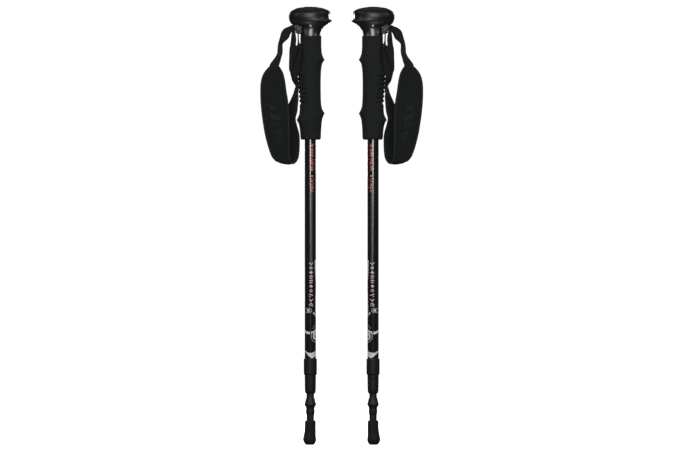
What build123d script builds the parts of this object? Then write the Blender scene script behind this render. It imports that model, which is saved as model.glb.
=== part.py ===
from build123d import *
import math
import os

# A pair of telescoping trekking poles, standing collapsed, side by side.
# Millimetres, +Z up, the origin midway between the poles on the ground.
# The left pole is built here and the right one is its mirror in the YZ plane.
# u is the distance forward of a pole's own axis, towards the other pole.

# ---------------------------------------------------------------- driving dimensions
SPACING = 100.4            # between the two poles' axes
AXIS_U = -SPACING / 2      # the left pole's axis

UPPER_R, MIDDLE_R, LOWER_R = 9.0, 7.5, 6.0    # outer radii of the three tubes
WALL = 0.8                                    # wall of every tube
UPPER_Z = (115.2, 600.0)
MIDDLE_Z = (85.5, 545.0)
LOWER_Z = (60.0, 470.0)
SLIDE_GAP = 0.06           # radial running gap of a tube in the next one's collar
LOCK_GAP = 0.05            # radial running gap of an expander in its tube

LOWER_STUD_R, MIDDLE_STUD_R = 2.5, 3.0
THREAD_GAP = 0.05
CONE_GAP = 0.08
CONE_RISE = 1.5            # lift of a cone nut over one turn, its thread's pitch

SHOCK_TRAVEL = 10.0
ROD_R = 3.0
SPRING_R, SPRING_WIRE_R, SPRING_TURNS = 6.5, 0.9, 9
CORE_R, CORE_BORE_R = 11.0, 9.05
CORE_Z = (488.6, 676.0)
CEILING_Z = (654.0, 658.0)

STRAP_BAR = (-20.6, 661.0)     # u and z of the bar that the wrist strap turns on
STRAP_BAR_R = 1.6
WEB_T = 1.6                    # webbing thickness
PAD_T = 4.5                    # padded band thickness

GRIP_B = 13.5                  # half width of the grip across the pole

# outline of the grip: height, rear and front edge
GRIP = [
    (488.0, -14.4, 15.4), (490.7, -15.6, 17.0), (498.7, -16.2, 17.2), (508.3, -17.4, 17.7),
    (514.7, -19.2, 18.3), (519.5, -21.8, 18.9), (524.3, -19.9, 20.2), (529.9, -17.4, 22.4),
    (537.1, -17.2, 19.4), (543.5, -17.4, 17.6), (556.3, -17.5, 16.9), (575.5, -17.4, 16.7),
    (594.7, -16.7, 17.1), (605.9, -16.4, 18.3), (610.7, -16.7, 19.6), (615.5, -17.0, 22.4),
    (620.3, -16.7, 20.7), (626.7, -16.2, 18.5), (639.5, -15.8, 17.7), (653.9, -15.8, 17.7),
]
# outline of the head: height, rear edge, front edge and half width
HEAD = [
    (653.9, -15.6, 16.9, 13.2), (658.7, -16.0, 16.6, 13.0), (663.5, -16.2, 18.6, 12.9),
    (668.3, -16.6, 22.0, 13.0), (671.5, -17.5, 25.5, 13.4), (674.2, -19.5, 28.6, 13.9),
    (675.0, -31.0, 29.9, 14.2), (676.3, -32.3, 31.7, 14.6), (677.9, -33.1, 34.2, 15.0),
    (679.5, -34.0, 34.5, 15.5), (681.1, -34.4, 32.9, 15.9), (682.7, -34.5, 31.0, 16.2),
    (685.9, -34.6, 31.2, 16.8), (689.1, -34.2, 31.8, 17.0), (692.3, -31.8, 32.3, 16.6),
    (693.9, -30.0, 31.8, 16.1), (695.5, -27.7, 29.2, 15.3), (697.1, -24.6, 25.9, 14.0),
    (698.7, -21.9, 21.2, 12.0),
]
CAP = [(698.7, -21.6, 20.9, 11.8), (699.6, -17.5, 17.5, 10.0), (700.4, -11.6, 13.2, 7.4), (701.1, -6.0, 8.0, 4.0)]
HEAD_BORE_R = 8.0
CAP_PLUG_Z = 694.0
INSERT = [(30.8, 693.7), (33.0, 691.8), (35.4, 689.2), (36.9, 686.2), (37.3, 683.4), (36.9, 681.0),
          (35.4, 679.8), (33.4, 680.2), (29.0, 681.6), (29.0, 692.0)]

# rubber foot: height, radius, offset of the section's centre
FOOT = [
    (0.0, 6.4, -0.9), (1.1, 7.4, -0.9), (2.7, 8.6, -0.9), (4.3, 9.5, -0.9), (5.9, 10.1, -0.95),
    (8.3, 10.5, -1.1), (10.7, 10.3, -1.1), (13.9, 9.75, -0.95), (17.1, 9.4, -0.7), (20.3, 9.05, -0.35),
    (26.7, 8.8, -0.1), (36.0, 8.65, -0.05), (37.9, 8.3, 0.0), (39.2, 7.2, 0.0),
]
FERRULE = [
    (75.2, 6.6), (73.6, 7.0), (71.5, 7.5), (68.5, 8.1), (65.5, 9.1), (64.6, 9.35), (63.2, 9.2),
    (61.6, 7.6), (59.0, 6.9), (57.2, 6.5), (55.5, 6.7), (53.0, 6.85), (50.5, 6.75), (48.6, 6.1),
    (47.0, 5.7), (20.0, 5.7), (9.0, 3.9), (8.0, 3.2),
]
UPPER_COLLAR = [(137.8, 9.3), (137.1, 10.4), (136.2, 10.62), (125.0, 10.58), (113.4, 10.5), (112.2, 10.15), (111.7, 9.6)]
MIDDLE_COLLAR = [(111.2, 8.7), (110.5, 9.1), (98.0, 8.95), (90.0, 8.8), (86.0, 8.5), (83.4, 8.0), (82.1, 7.2), (81.8, 6.6)]

# padded wrist band, outer half: outline in u and z
PAD_OUTER = [
    (-58.0, 607.0), (-68.9, 601.1), (-73.7, 594.7), (-76.6, 588.3), (-78.2, 581.9), (-79.2, 572.0),
    (-79.1, 549.9), (-78.1, 537.1), (-76.6, 524.3), (-74.6, 511.5), (-72.7, 498.7), (-69.8, 485.9),
    (-66.5, 473.1), (-61.4, 460.3), (-55.3, 453.9), (-48.0, 451.6), (-40.0, 450.6), (-34.2, 450.3),
    (-34.0, 500.0), (-34.4, 536.0), (-36.6, 549.9), (-38.2, 556.3), (-39.3, 562.7), (-40.6, 575.5),
    (-42.5, 588.3), (-44.3, 594.7), (-48.2, 601.1),
]
# webbing runs: u, y, z of the centre, width, turn of the width out of the cross direction
WEB_OUTER = [
    (-23.4, 0.0, 661.6, 15.0, 0), (-29.2, -1.0, 662.6, 15.0, 40), (-34.8, -3.0, 660.8, 14.8, 75),
    (-39.2, -4.5, 655.5, 14.6, 90), (-42.6, -5.0, 649.1, 12.0, 90), (-46.4, -5.2, 642.7, 9.0, 90),
    (-48.4, -5.4, 634.7, 7.8, 90), (-48.7, -5.8, 626.7, 8.0, 90), (-51.3, -6.2, 619.5, 9.6, 90),
    (-55.0, -6.6, 612.3, 13.0, 90), (-57.6, -6.8, 607.2, 16.0, 90),
]
WEB_INNER = [
    (-22.0, 0.0, 657.2, 15.0, 0), (-25.6, -1.0, 653.0, 12.0, 45), (-26.8, -2.5, 644.3, 10.0, 75),
    (-26.0, -4.0, 631.5, 14.0, 90), (-25.8, -4.5, 620.3, 14.8, 90), (-25.6, -4.0, 607.5, 14.8, 90),
    (-24.8, -2.0, 594.7, 12.4, 85), (-23.2, 0.5, 581.9, 8.4, 70), (-21.4, 2.0, 571.0, 5.0, 50),
]
# padded wrist band, inner half: height, near and far corner in u and y
PAD_INNER = [
    (570.6, -22.4, 3.6, -20.5, -3.6), (562.7, -25.8, 5.8, -20.5, -4.4), (549.9, -31.6, 7.0, -20.9, -1.8),
    (536.0, -39.0, 7.4, -21.8, 0.6), (524.3, -44.4, 7.4, -23.4, 1.8), (511.5, -48.0, 7.4, -21.6, 2.6),
    (498.7, -50.4, 7.4, -19.6, 3.2), (485.9, -51.4, 7.2, -19.2, 3.4), (470.0, -51.2, 6.9, -19.6, 3.4),
    (461.5, -50.4, 5.6, -21.4, 2.8), (456.0, -48.6, 2.6, -24.6, 1.0), (452.2, -45.6, -1.9, -28.4, -2.3),
]

os.makedirs("parts", exist_ok=True)


# ---------------------------------------------------------------- helpers
def lathe(points):
    """A solid of revolution about the pole's axis, from z and r pairs; its inside edge runs on the axis."""
    pts = [(r, z) for z, r in points]
    pts = [(0, pts[0][1])] + pts + [(0, pts[-1][1])]
    face = make_face(Plane.XZ * Polyline(*pts, close=True))
    return revolve(face, Axis.Z)


def rod(r, z0, z1):
    return Pos(0, 0, (z0 + z1) / 2) * Cylinder(r, z1 - z0)


def ring(outer, inner, z0, z1):
    return rod(outer, z0, z1) - rod(inner, z0 - 1, z1 + 1)


def cross_rod(r, u, z, y0, y1):
    """A round bar across the pole."""
    return Pos(u, (y0 + y1) / 2, z) * Rot(90, 0, 0) * Cylinder(r, y1 - y0)


def oval_loft(rows):
    """A solid through ovals, each with its height, rear edge, front edge and half width."""
    return loft([Plane.XY.offset(z) * Pos((a + b) / 2, 0) * Ellipse((b - a) / 2, w) for z, a, b, w in rows], ruled=True)


def block(u0, u1, y0, y1, z0, z1):
    return Pos((u0 + u1) / 2, (y0 + y1) / 2, (z0 + z1) / 2) * Box(u1 - u0, y1 - y0, z1 - z0)


def ribbon(rows, thick):
    """A flat strap through centres in u, y, z; each row has a width and how far it is turned."""
    centres = [Vector(r[0], r[1], r[2]) for r in rows]
    wires = []
    for i, (c, r) in enumerate(zip(centres, rows)):
        along = (centres[min(i + 1, len(rows) - 1)] - centres[max(i - 1, 0)]).normalized()
        side = along.cross(Vector(0, 1, 0)).normalized()
        t = math.radians(r[4])
        wide = (Vector(0, 1, 0) * math.cos(t) + side * math.sin(t)).normalized()
        wide = (wide - along * wide.dot(along)).normalized()
        deep = along.cross(wide).normalized()
        a, b = wide * (r[3] / 2), deep * (thick / 2)
        wires.append(Wire.make_polygon([c + a + b, c - a + b, c - a - b, c + a - b], close=True))
    return Solid.make_loft(wires, ruled=True)


def slanted(rows, thick):
    """A flat band through rows of height, near corner and far corner."""
    wires = []
    for z, u0, y0, u1, y1 in rows:
        d = Vector(u1 - u0, y1 - y0, 0).normalized()
        n = Vector(-d.Y, d.X, 0) * (thick / 2)
        p, q = Vector(u0, y0, z), Vector(u1, y1, z)
        wires.append(Wire.make_polygon([p + n, q + n, q - n, p - n], close=True))
    return Solid.make_loft(wires, ruled=True)


def expander(r, bore, z0, z1, seat_r):
    """A split sleeve with a conical seat at its top, which the cone nut spreads."""
    seat_z = z0 + 9
    body = rod(r, z0, z1) - rod(bore, z0 - 1, z1 + 1)
    body -= lathe([(z1 + 0.01, seat_r), (seat_z, bore)])
    for k in range(2):
        body -= Rot(0, 0, 90 * k) * block(-r - 1, r + 1, -0.6, 0.6, z0 + 6, z1 + 1)
    for z in (z0 + 1.6, z0 + 3.6):
        body -= ring(r + 1, r - 0.5, z, z + 0.8)
    return body


def cone_nut(bore, z_seat, z_top, low_r, seat_r, head_r, head_h):
    body = lathe([(z_top + 0.6 + head_h, head_r - 0.8), (z_top + 0.6 + head_h - 0.8, head_r), (z_top + 0.6, head_r), (z_top + 0.6, seat_r - CONE_GAP), (z_seat + 1.0, low_r)])
    body -= rod(bore, z_seat - 2, z_top + head_h + 2)
    for k in range(2):
        body -= Rot(0, 0, 90 * k) * (block(head_r - 0.8, head_r + 1, -0.8, 0.8, z_top + 0.6, z_top + head_h + 2) + block(-head_r - 1, -head_r + 0.8, -0.8, 0.8, z_top + 0.6, z_top + head_h + 2))
    return body


parts = {}

# ---------------------------------------------------------------- foot and tip
foot = loft([Plane.XY.offset(z) * Pos(c, 0) * Circle(r) for z, r, c in FOOT], ruled=True)
foot -= lathe([(40.0, 5.76), (19.0, 5.76), (8.0, 4.5), (3.6, 3.2)])
for k in range(3):
    foot -= ring(12, 8.35, 30.0 - 3 * k, 31.0 - 3 * k)
parts["rubber_foot"] = foot

ferrule = lathe(FERRULE) - rod(LOWER_R, LOWER_Z[0], 80) - rod(2.2, 7, 17)
parts["tip_ferrule"] = ferrule
tip = lathe([(17.0, 2.2), (5.4, 2.2), (4.6, 1.8)])
tip -= lathe([(5.4, 0.6), (4.5, 1.3)])
parts["carbide_tip"] = tip

# ---------------------------------------------------------------- lower section
parts["lower_tube"] = ring(LOWER_R, LOWER_R - WALL, *LOWER_Z)
parts["lower_stud_plug"] = (
    rod(LOWER_R - WALL, 455, LOWER_Z[1]) + rod(LOWER_R - 0.2, LOWER_Z[1], 472) + rod(LOWER_STUD_R, 472, 506)
)
MIDDLE_BORE = MIDDLE_R - WALL
parts["lower_expander"] = expander(MIDDLE_BORE - LOCK_GAP, LOWER_STUD_R + 0.4, 472.4, 492, 5.2)
parts["lower_cone_nut"] = cone_nut(LOWER_STUD_R + THREAD_GAP, 481.4, 492, 2.95, 5.2, 6.1, 7)

# ---------------------------------------------------------------- middle section
parts["middle_tube"] = ring(MIDDLE_R, MIDDLE_BORE, *MIDDLE_Z)
parts["middle_collar"] = lathe(MIDDLE_COLLAR) - rod(MIDDLE_R, MIDDLE_Z[0], 130) - rod(LOWER_R + SLIDE_GAP, 70, 90)
parts["middle_stud_plug"] = (
    rod(MIDDLE_BORE, 530, MIDDLE_Z[1]) + rod(MIDDLE_R - 0.2, MIDDLE_Z[1], 547) + rod(MIDDLE_STUD_R, 547, 583)
)
UPPER_BORE = UPPER_R - WALL
parts["middle_expander"] = expander(UPPER_BORE - LOCK_GAP, MIDDLE_STUD_R + 0.4, 547.4, 569, 6.6)
parts["middle_cone_nut"] = cone_nut(MIDDLE_STUD_R + THREAD_GAP, 556.4, 569, 3.5, 6.6, 7.5, 7)

# ---------------------------------------------------------------- upper section and shock absorber
parts["upper_tube"] = ring(UPPER_R, UPPER_BORE, *UPPER_Z)
parts["upper_collar"] = lathe(UPPER_COLLAR) - rod(UPPER_R, UPPER_Z[0], 150) - rod(MIDDLE_R + SLIDE_GAP, 100, 120)
parts["shock_plug"] = rod(UPPER_BORE, 586, UPPER_Z[1]) + rod(UPPER_R - 0.2, UPPER_Z[1], 603) - rod(ROD_R, 588, 610)
parts["shock_rod"] = rod(ROD_R, 588, 668)
nut = Pos(0, 0, 660.3) * extrude(RegularPolygon(5.0, 6), 4.0) - rod(ROD_R, 650, 670)
parts["shock_nut"] = ring(6.4, ROD_R, 658.3, 660.3) + nut
spring_h = (CEILING_Z[0] - 0.1 - SPRING_WIRE_R) - (603.1 + SPRING_WIRE_R)
path = Helix(spring_h / SPRING_TURNS, spring_h, SPRING_R)
spring = sweep(Plane(origin=path @ 0, z_dir=path % 0) * Circle(SPRING_WIRE_R), path=path)
parts["shock_spring"] = Pos(0, 0, 603.1 + SPRING_WIRE_R) * spring

# ---------------------------------------------------------------- handle
core = ring(CORE_R, CORE_BORE_R, CORE_Z[0], CEILING_Z[0]) + ring(CORE_R, ROD_R + 0.08, *CEILING_Z)
core += ring(CORE_R, HEAD_BORE_R, CEILING_Z[1], CORE_Z[1])
parts["grip_core"] = core

grip = oval_loft([(z, a, b, GRIP_B if 492 < z < 652 else GRIP_B - (1.6 if z < 489 else 0.2)) for z, a, b in GRIP])
grip -= rod(CORE_R, 480, 660)
for k in range(7):
    z = 548.0 + 8.0 * k
    grip -= Pos(-18.3, 0, z) * Rot(90, 0, 0) * Cylinder(1.1, 16)
parts["grip_sleeve"] = grip

head = oval_loft(HEAD) - rod(CORE_R, 650, CORE_Z[1]) - rod(HEAD_BORE_R, 670, 705)
screw_holes = [cross_rod(1.5, 0.5, 670.0, s * 14.0 - 5.0, s * 14.0 + 5.0) for s in (-1, 1)]
for h in screw_holes:
    head -= h
cap = oval_loft(CAP) + rod(HEAD_BORE_R - 0.05, CAP_PLUG_Z, 699.0)
screws = [cross_rod(1.5, 0.5, 670.0, min(s * 11.02, s * 12.6), max(s * 11.02, s * 12.6)) for s in (-1, 1)]
parts["head_screws"] = Compound(screws)

profile = make_face(Plane.XZ * Polyline(*INSERT, close=True))
insert = extrude(profile, 10, both=True) & (Pos(0, 0, 685) * extrude(Ellipse(37.3, 19.0), 20, both=True))
insert -= oval_loft(HEAD)
if len(insert.solids()) > 1:
    insert = insert.solids().sort_by(SortBy.VOLUME)[-1]
parts["head_insert"] = insert

# the lug behind the neck carries the bar that the wrist strap turns on
lug = None
for s in (-1, 1):
    face = Plane.XZ * (Pos(-19.2, 664.6) * Rot(0, 0, -18) * Rot(0, 0, 90) * Ellipse(7.2, 4.5))
    plate = extrude(face, 1.1, both=True)
    plate = Pos(0, s * 9.4, 0) * plate
    lug = plate if lug is None else lug + plate
lug += block(-20.4, -14.5, -10.4, 10.4, 665.4, 670.2)
lug -= oval_loft(HEAD)
lug -= cross_rod(STRAP_BAR_R, *STRAP_BAR, -12, 12)
parts["strap_lug"] = lug
parts["strap_bar"] = cross_rod(STRAP_BAR_R, *STRAP_BAR, -10.5, 10.5)
parts["head_body"] = head
parts["head_cap"] = cap

# ---------------------------------------------------------------- wrist strap
eye = cross_rod(3.2, *STRAP_BAR, -7.5, 7.5)
web_outer = ribbon(WEB_OUTER, WEB_T) + eye - cross_rod(STRAP_BAR_R + 0.05, *STRAP_BAR, -9, 9)
parts["strap_webbing_outer"] = web_outer
parts["strap_webbing_inner"] = ribbon(WEB_INNER, WEB_T) - eye
pad_face = make_face(Plane.XZ * Polyline(*PAD_OUTER, close=True))
pad_outer = Pos(0, -6.8, 0) * extrude(pad_face, PAD_T / 2, both=True)
parts["strap_pad_outer"] = pad_outer - ribbon(WEB_OUTER, WEB_T)
parts["strap_pad_inner"] = slanted(PAD_INNER, PAD_T - 0.5) - ribbon(WEB_INNER, WEB_T)


# ---------------------------------------------------------------- write both poles
def solids_only(shape):
    found = [s for s in shape.solids() if s.volume > 0.5]
    return found[0] if len(found) == 1 else Compound(found)


for name, shape in parts.items():
    left = Pos(AXIS_U, 0, 0) * solids_only(shape)
    right = mirror(left, about=Plane.YZ)
    export_step(left, f"parts/left_{name}.step")
    export_step(right, f"parts/right_{name}.step")
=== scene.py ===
import math

import bmesh
import bpy
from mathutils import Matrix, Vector, noise

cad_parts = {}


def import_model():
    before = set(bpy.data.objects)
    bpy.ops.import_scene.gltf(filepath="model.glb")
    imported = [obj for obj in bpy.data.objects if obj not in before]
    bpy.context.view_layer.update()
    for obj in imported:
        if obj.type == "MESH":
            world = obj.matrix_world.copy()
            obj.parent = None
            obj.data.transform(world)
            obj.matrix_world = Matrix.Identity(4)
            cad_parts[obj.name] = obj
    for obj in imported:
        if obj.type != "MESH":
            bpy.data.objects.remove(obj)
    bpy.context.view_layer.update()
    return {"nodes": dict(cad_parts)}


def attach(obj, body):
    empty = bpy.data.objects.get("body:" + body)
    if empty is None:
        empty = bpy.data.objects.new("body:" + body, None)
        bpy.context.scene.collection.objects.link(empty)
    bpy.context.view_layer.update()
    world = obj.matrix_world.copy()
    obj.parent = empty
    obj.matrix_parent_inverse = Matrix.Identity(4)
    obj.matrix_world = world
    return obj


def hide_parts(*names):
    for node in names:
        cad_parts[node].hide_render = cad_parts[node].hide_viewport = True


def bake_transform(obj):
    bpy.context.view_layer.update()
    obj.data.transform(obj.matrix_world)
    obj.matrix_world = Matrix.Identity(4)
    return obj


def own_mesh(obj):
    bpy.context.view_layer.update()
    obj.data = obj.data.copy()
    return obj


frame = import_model()
SIDES = ("left", "right")
AX = 0.0502            # each pole's axis from the middle, metres
TAU = 2 * math.pi

# The pieces are described once, in millimetres, as u, y, z: u is the distance forward of a pole's own
# axis, towards the other pole. The right pole is the mirror of the left one.


def world(side, p):
    s = -1 if side == "left" else 1
    return (s * AX - s * p[0] / 1000, p[1] / 1000, p[2] / 1000)


# ------------------------------------------------------------------ curves
def hermite(x, xs, ys, ml, mr):
    """Cubic through xs, ys with the slope on the left and on the right of each point."""
    if x <= xs[0]:
        return ys[0]
    for i in range(len(xs) - 1):
        if x <= xs[i + 1]:
            h = xs[i + 1] - xs[i]
            t = (x - xs[i]) / h
            a, b = mr[i] * h, ml[i + 1] * h
            return (
                (2 * t**3 - 3 * t**2 + 1) * ys[i] + (t**3 - 2 * t**2 + t) * a
                + (-2 * t**3 + 3 * t**2) * ys[i + 1] + (t**3 - t**2) * b
            )
    return ys[-1]


class Line:
    """A smooth curve through points, with a corner at each x in sharp."""

    def __init__(self, points, sharp=(), ease=1.0):
        self.xs = [p[0] for p in points]
        self.ys = [p[1] for p in points]
        n = len(points)
        d = [(self.ys[i + 1] - self.ys[i]) / (self.xs[i + 1] - self.xs[i]) for i in range(n - 1)]
        ml, mr = [0.0] * n, [0.0] * n
        for i in range(n):
            if i == 0:
                ml[i] = mr[i] = d[0]
            elif i == n - 1:
                ml[i] = mr[i] = d[-1]
            elif any(abs(self.xs[i] - s) < 1e-6 for s in sharp):
                ml[i], mr[i] = d[i - 1] * ease, d[i] * ease
            elif d[i - 1] * d[i] <= 0:
                ml[i] = mr[i] = 0.0
            else:
                ml[i] = mr[i] = 2 * d[i - 1] * d[i] / (d[i - 1] + d[i])
        self.ml, self.mr = ml, mr

    def __call__(self, x):
        return hermite(x, self.xs, self.ys, self.ml, self.mr)


def resample(rows, step, keys=None):
    """Rows of numbers, smoothly filled in to about one row each step of the length of their first keys columns."""
    k = keys or len(rows[0])
    t = [0.0]
    for a, b in zip(rows, rows[1:]):
        t.append(t[-1] + max(1e-6, math.dist(a[:k], b[:k])))
    n = max(2, int(round(t[-1] / step)))
    cols = []
    for c in range(len(rows[0])):
        v = [r[c] for r in rows]
        m = []
        for i in range(len(rows)):
            if i == 0:
                m.append((v[1] - v[0]) / (t[1] - t[0]))
            elif i == len(rows) - 1:
                m.append((v[-1] - v[-2]) / (t[-1] - t[-2]))
            else:
                h0, h1 = t[i] - t[i - 1], t[i + 1] - t[i]
                m.append(((v[i] - v[i - 1]) / h0 * h1 + (v[i + 1] - v[i]) / h1 * h0) / (h0 + h1))
        cols.append((v, m))
    out = []
    for j in range(n + 1):
        x = t[-1] * j / n
        out.append(tuple(hermite(x, t, v, m, m) for v, m in cols))
    return out


def rounded(points, default=0.0, seg=5):
    """A polyline of (a, b) or (a, b, radius) with its corners rounded."""
    out = []
    n = len(points)
    for i, p in enumerate(points):
        r = p[2] if len(p) > 2 else default
        if i in (0, n - 1) or r <= 0:
            out.append((p[0], p[1]))
            continue
        a, b, c = Vector(points[i - 1][:2]), Vector(p[:2]), Vector(points[i + 1][:2])
        d0, d1 = (a - b), (c - b)
        l0, l1 = d0.length, d1.length
        if l0 < 1e-6 or l1 < 1e-6:
            out.append((p[0], p[1]))
            continue
        d0 /= l0
        d1 /= l1
        ang = math.acos(max(-1, min(1, d0.dot(d1))))
        if ang > math.pi - 0.02:
            out.append((p[0], p[1]))
            continue
        cut = min(r / math.tan(ang / 2), 0.48 * l0, 0.48 * l1)
        for k in range(seg + 1):
            t = k / seg
            q = (b + d0 * cut) * (1 - t) ** 2 + b * 2 * t * (1 - t) + (b + d1 * cut) * t**2
            out.append((q.x, q.y))
    return out


# ------------------------------------------------------------------ mesh building
def loops_mesh(loops, closed_u=True, cap0=None, cap1=None, wrap=False):
    """Faces over rows of points. cap: None, 'fan' or 'strip' (for a flat section whose second half runs back over its first)."""
    n = len(loops[0])
    verts = [p for row in loops for p in row]
    faces = []
    m = len(loops)
    for i in range(m - (0 if wrap else 1)):
        j = (i + 1) % m
        for k in range(n if closed_u else n - 1):
            l = (k + 1) % n
            faces.append((i * n + k, i * n + l, j * n + l, j * n + k))
    for cap, i in ((cap0, 0), (cap1, m - 1)):
        if cap == "fan":
            c = len(verts)
            row = loops[i]
            verts.append(tuple(sum(p[a] for p in row) / n for a in range(3)))
            for k in range(n):
                faces.append((i * n + k, i * n + (k + 1) % n, c) if i else (i * n + (k + 1) % n, i * n + k, c))
        elif cap == "strip":
            half = n // 2
            for k in range(half - 1):
                faces.append((i * n + k, i * n + k + 1, i * n + n - 2 - k, i * n + n - 1 - k))
    return verts, faces


def lathe(profile, n=96, centre=None, wrap=False):
    """profile: (r, z) pairs; a radius of 0 at an end closes it. centre: z to the section's centre in u."""
    loops = []
    for r, z in profile:
        c = centre(z) if centre else 0.0
        r = max(r, 1e-4)
        loops.append([(c + r * math.sin(TAU * k / n), -r * math.cos(TAU * k / n), z) for k in range(n)])
    caps = (None, None) if wrap else ("fan" if profile[0][0] < 1e-3 else None, "fan" if profile[-1][0] < 1e-3 else None)
    if caps[0]:
        loops = loops[1:]
    if caps[1]:
        loops = loops[:-1]
    verts, faces = loops_mesh(loops, True, *caps, wrap=wrap)
    if caps[0]:
        k = len(loops) * n
        verts[k] = (verts[k][0], verts[k][1], profile[0][1])
    if caps[1]:
        verts[-1] = (verts[-1][0], verts[-1][1], profile[-1][1])
    return verts, faces


def ring_profile(outer, inner):
    """A closed profile of a hollow turned piece: the outside from the bottom up, then the bore from the top down."""
    return outer + inner[::-1]


def merge(*meshes):
    verts, faces = [], []
    for v, f in meshes:
        k = len(verts)
        verts += list(v)
        faces += [tuple(i + k for i in face) for face in f]
    return verts, faces


def moved(mesh, fn):
    return [fn(p) for p in mesh[0]], mesh[1]


def finish_mesh(me, angle=38.0):
    bm = bmesh.new()
    bm.from_mesh(me)
    bmesh.ops.remove_doubles(bm, verts=bm.verts, dist=2e-7)
    bmesh.ops.dissolve_degenerate(bm, edges=bm.edges, dist=1e-7)
    bmesh.ops.recalc_face_normals(bm, faces=bm.faces)
    limit = math.radians(angle)
    for f in bm.faces:
        f.smooth = True
    for e in bm.edges:
        if len(e.link_faces) == 2 and e.calc_face_angle(0) > limit:
            e.smooth = False
    bm.to_mesh(me)
    bm.free()
    me.update()


PIECES = {}


def piece(name, mesh, body, material, replaces=(), uv=None, angle=38.0, levels=0, sides=SIDES):
    """Makes the piece on both poles. uv: one (x, y) per vertex, in millimetres on the cloth."""
    verts, faces = mesh
    for side in sides:
        me = bpy.data.meshes.new(f"{side}_{name}")
        me.from_pydata([world(side, v) for v in verts], [], [tuple(f) for f in faces])
        if uv:
            layer = me.uv_layers.new(name="cloth")
            for loop in me.loops:
                layer.data[loop.index].uv = (uv[loop.vertex_index][0] / 10, uv[loop.vertex_index][1] / 10)
        finish_mesh(me, angle)
        ob = bpy.data.objects.new(f"{side}_{name}", me)
        bpy.context.scene.collection.objects.link(ob)
        for m in material if isinstance(material, (list, tuple)) else [material]:
            me.materials.append(m)
        if levels:
            sub = ob.modifiers.new("smooth", "SUBSURF")
            sub.levels = sub.render_levels = levels
        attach(ob, f"{side}_{body}")
        if replaces:
            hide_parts(*[f"{side}_{r}" for r in replaces])
        PIECES[f"{side}_{name}"] = ob


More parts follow.
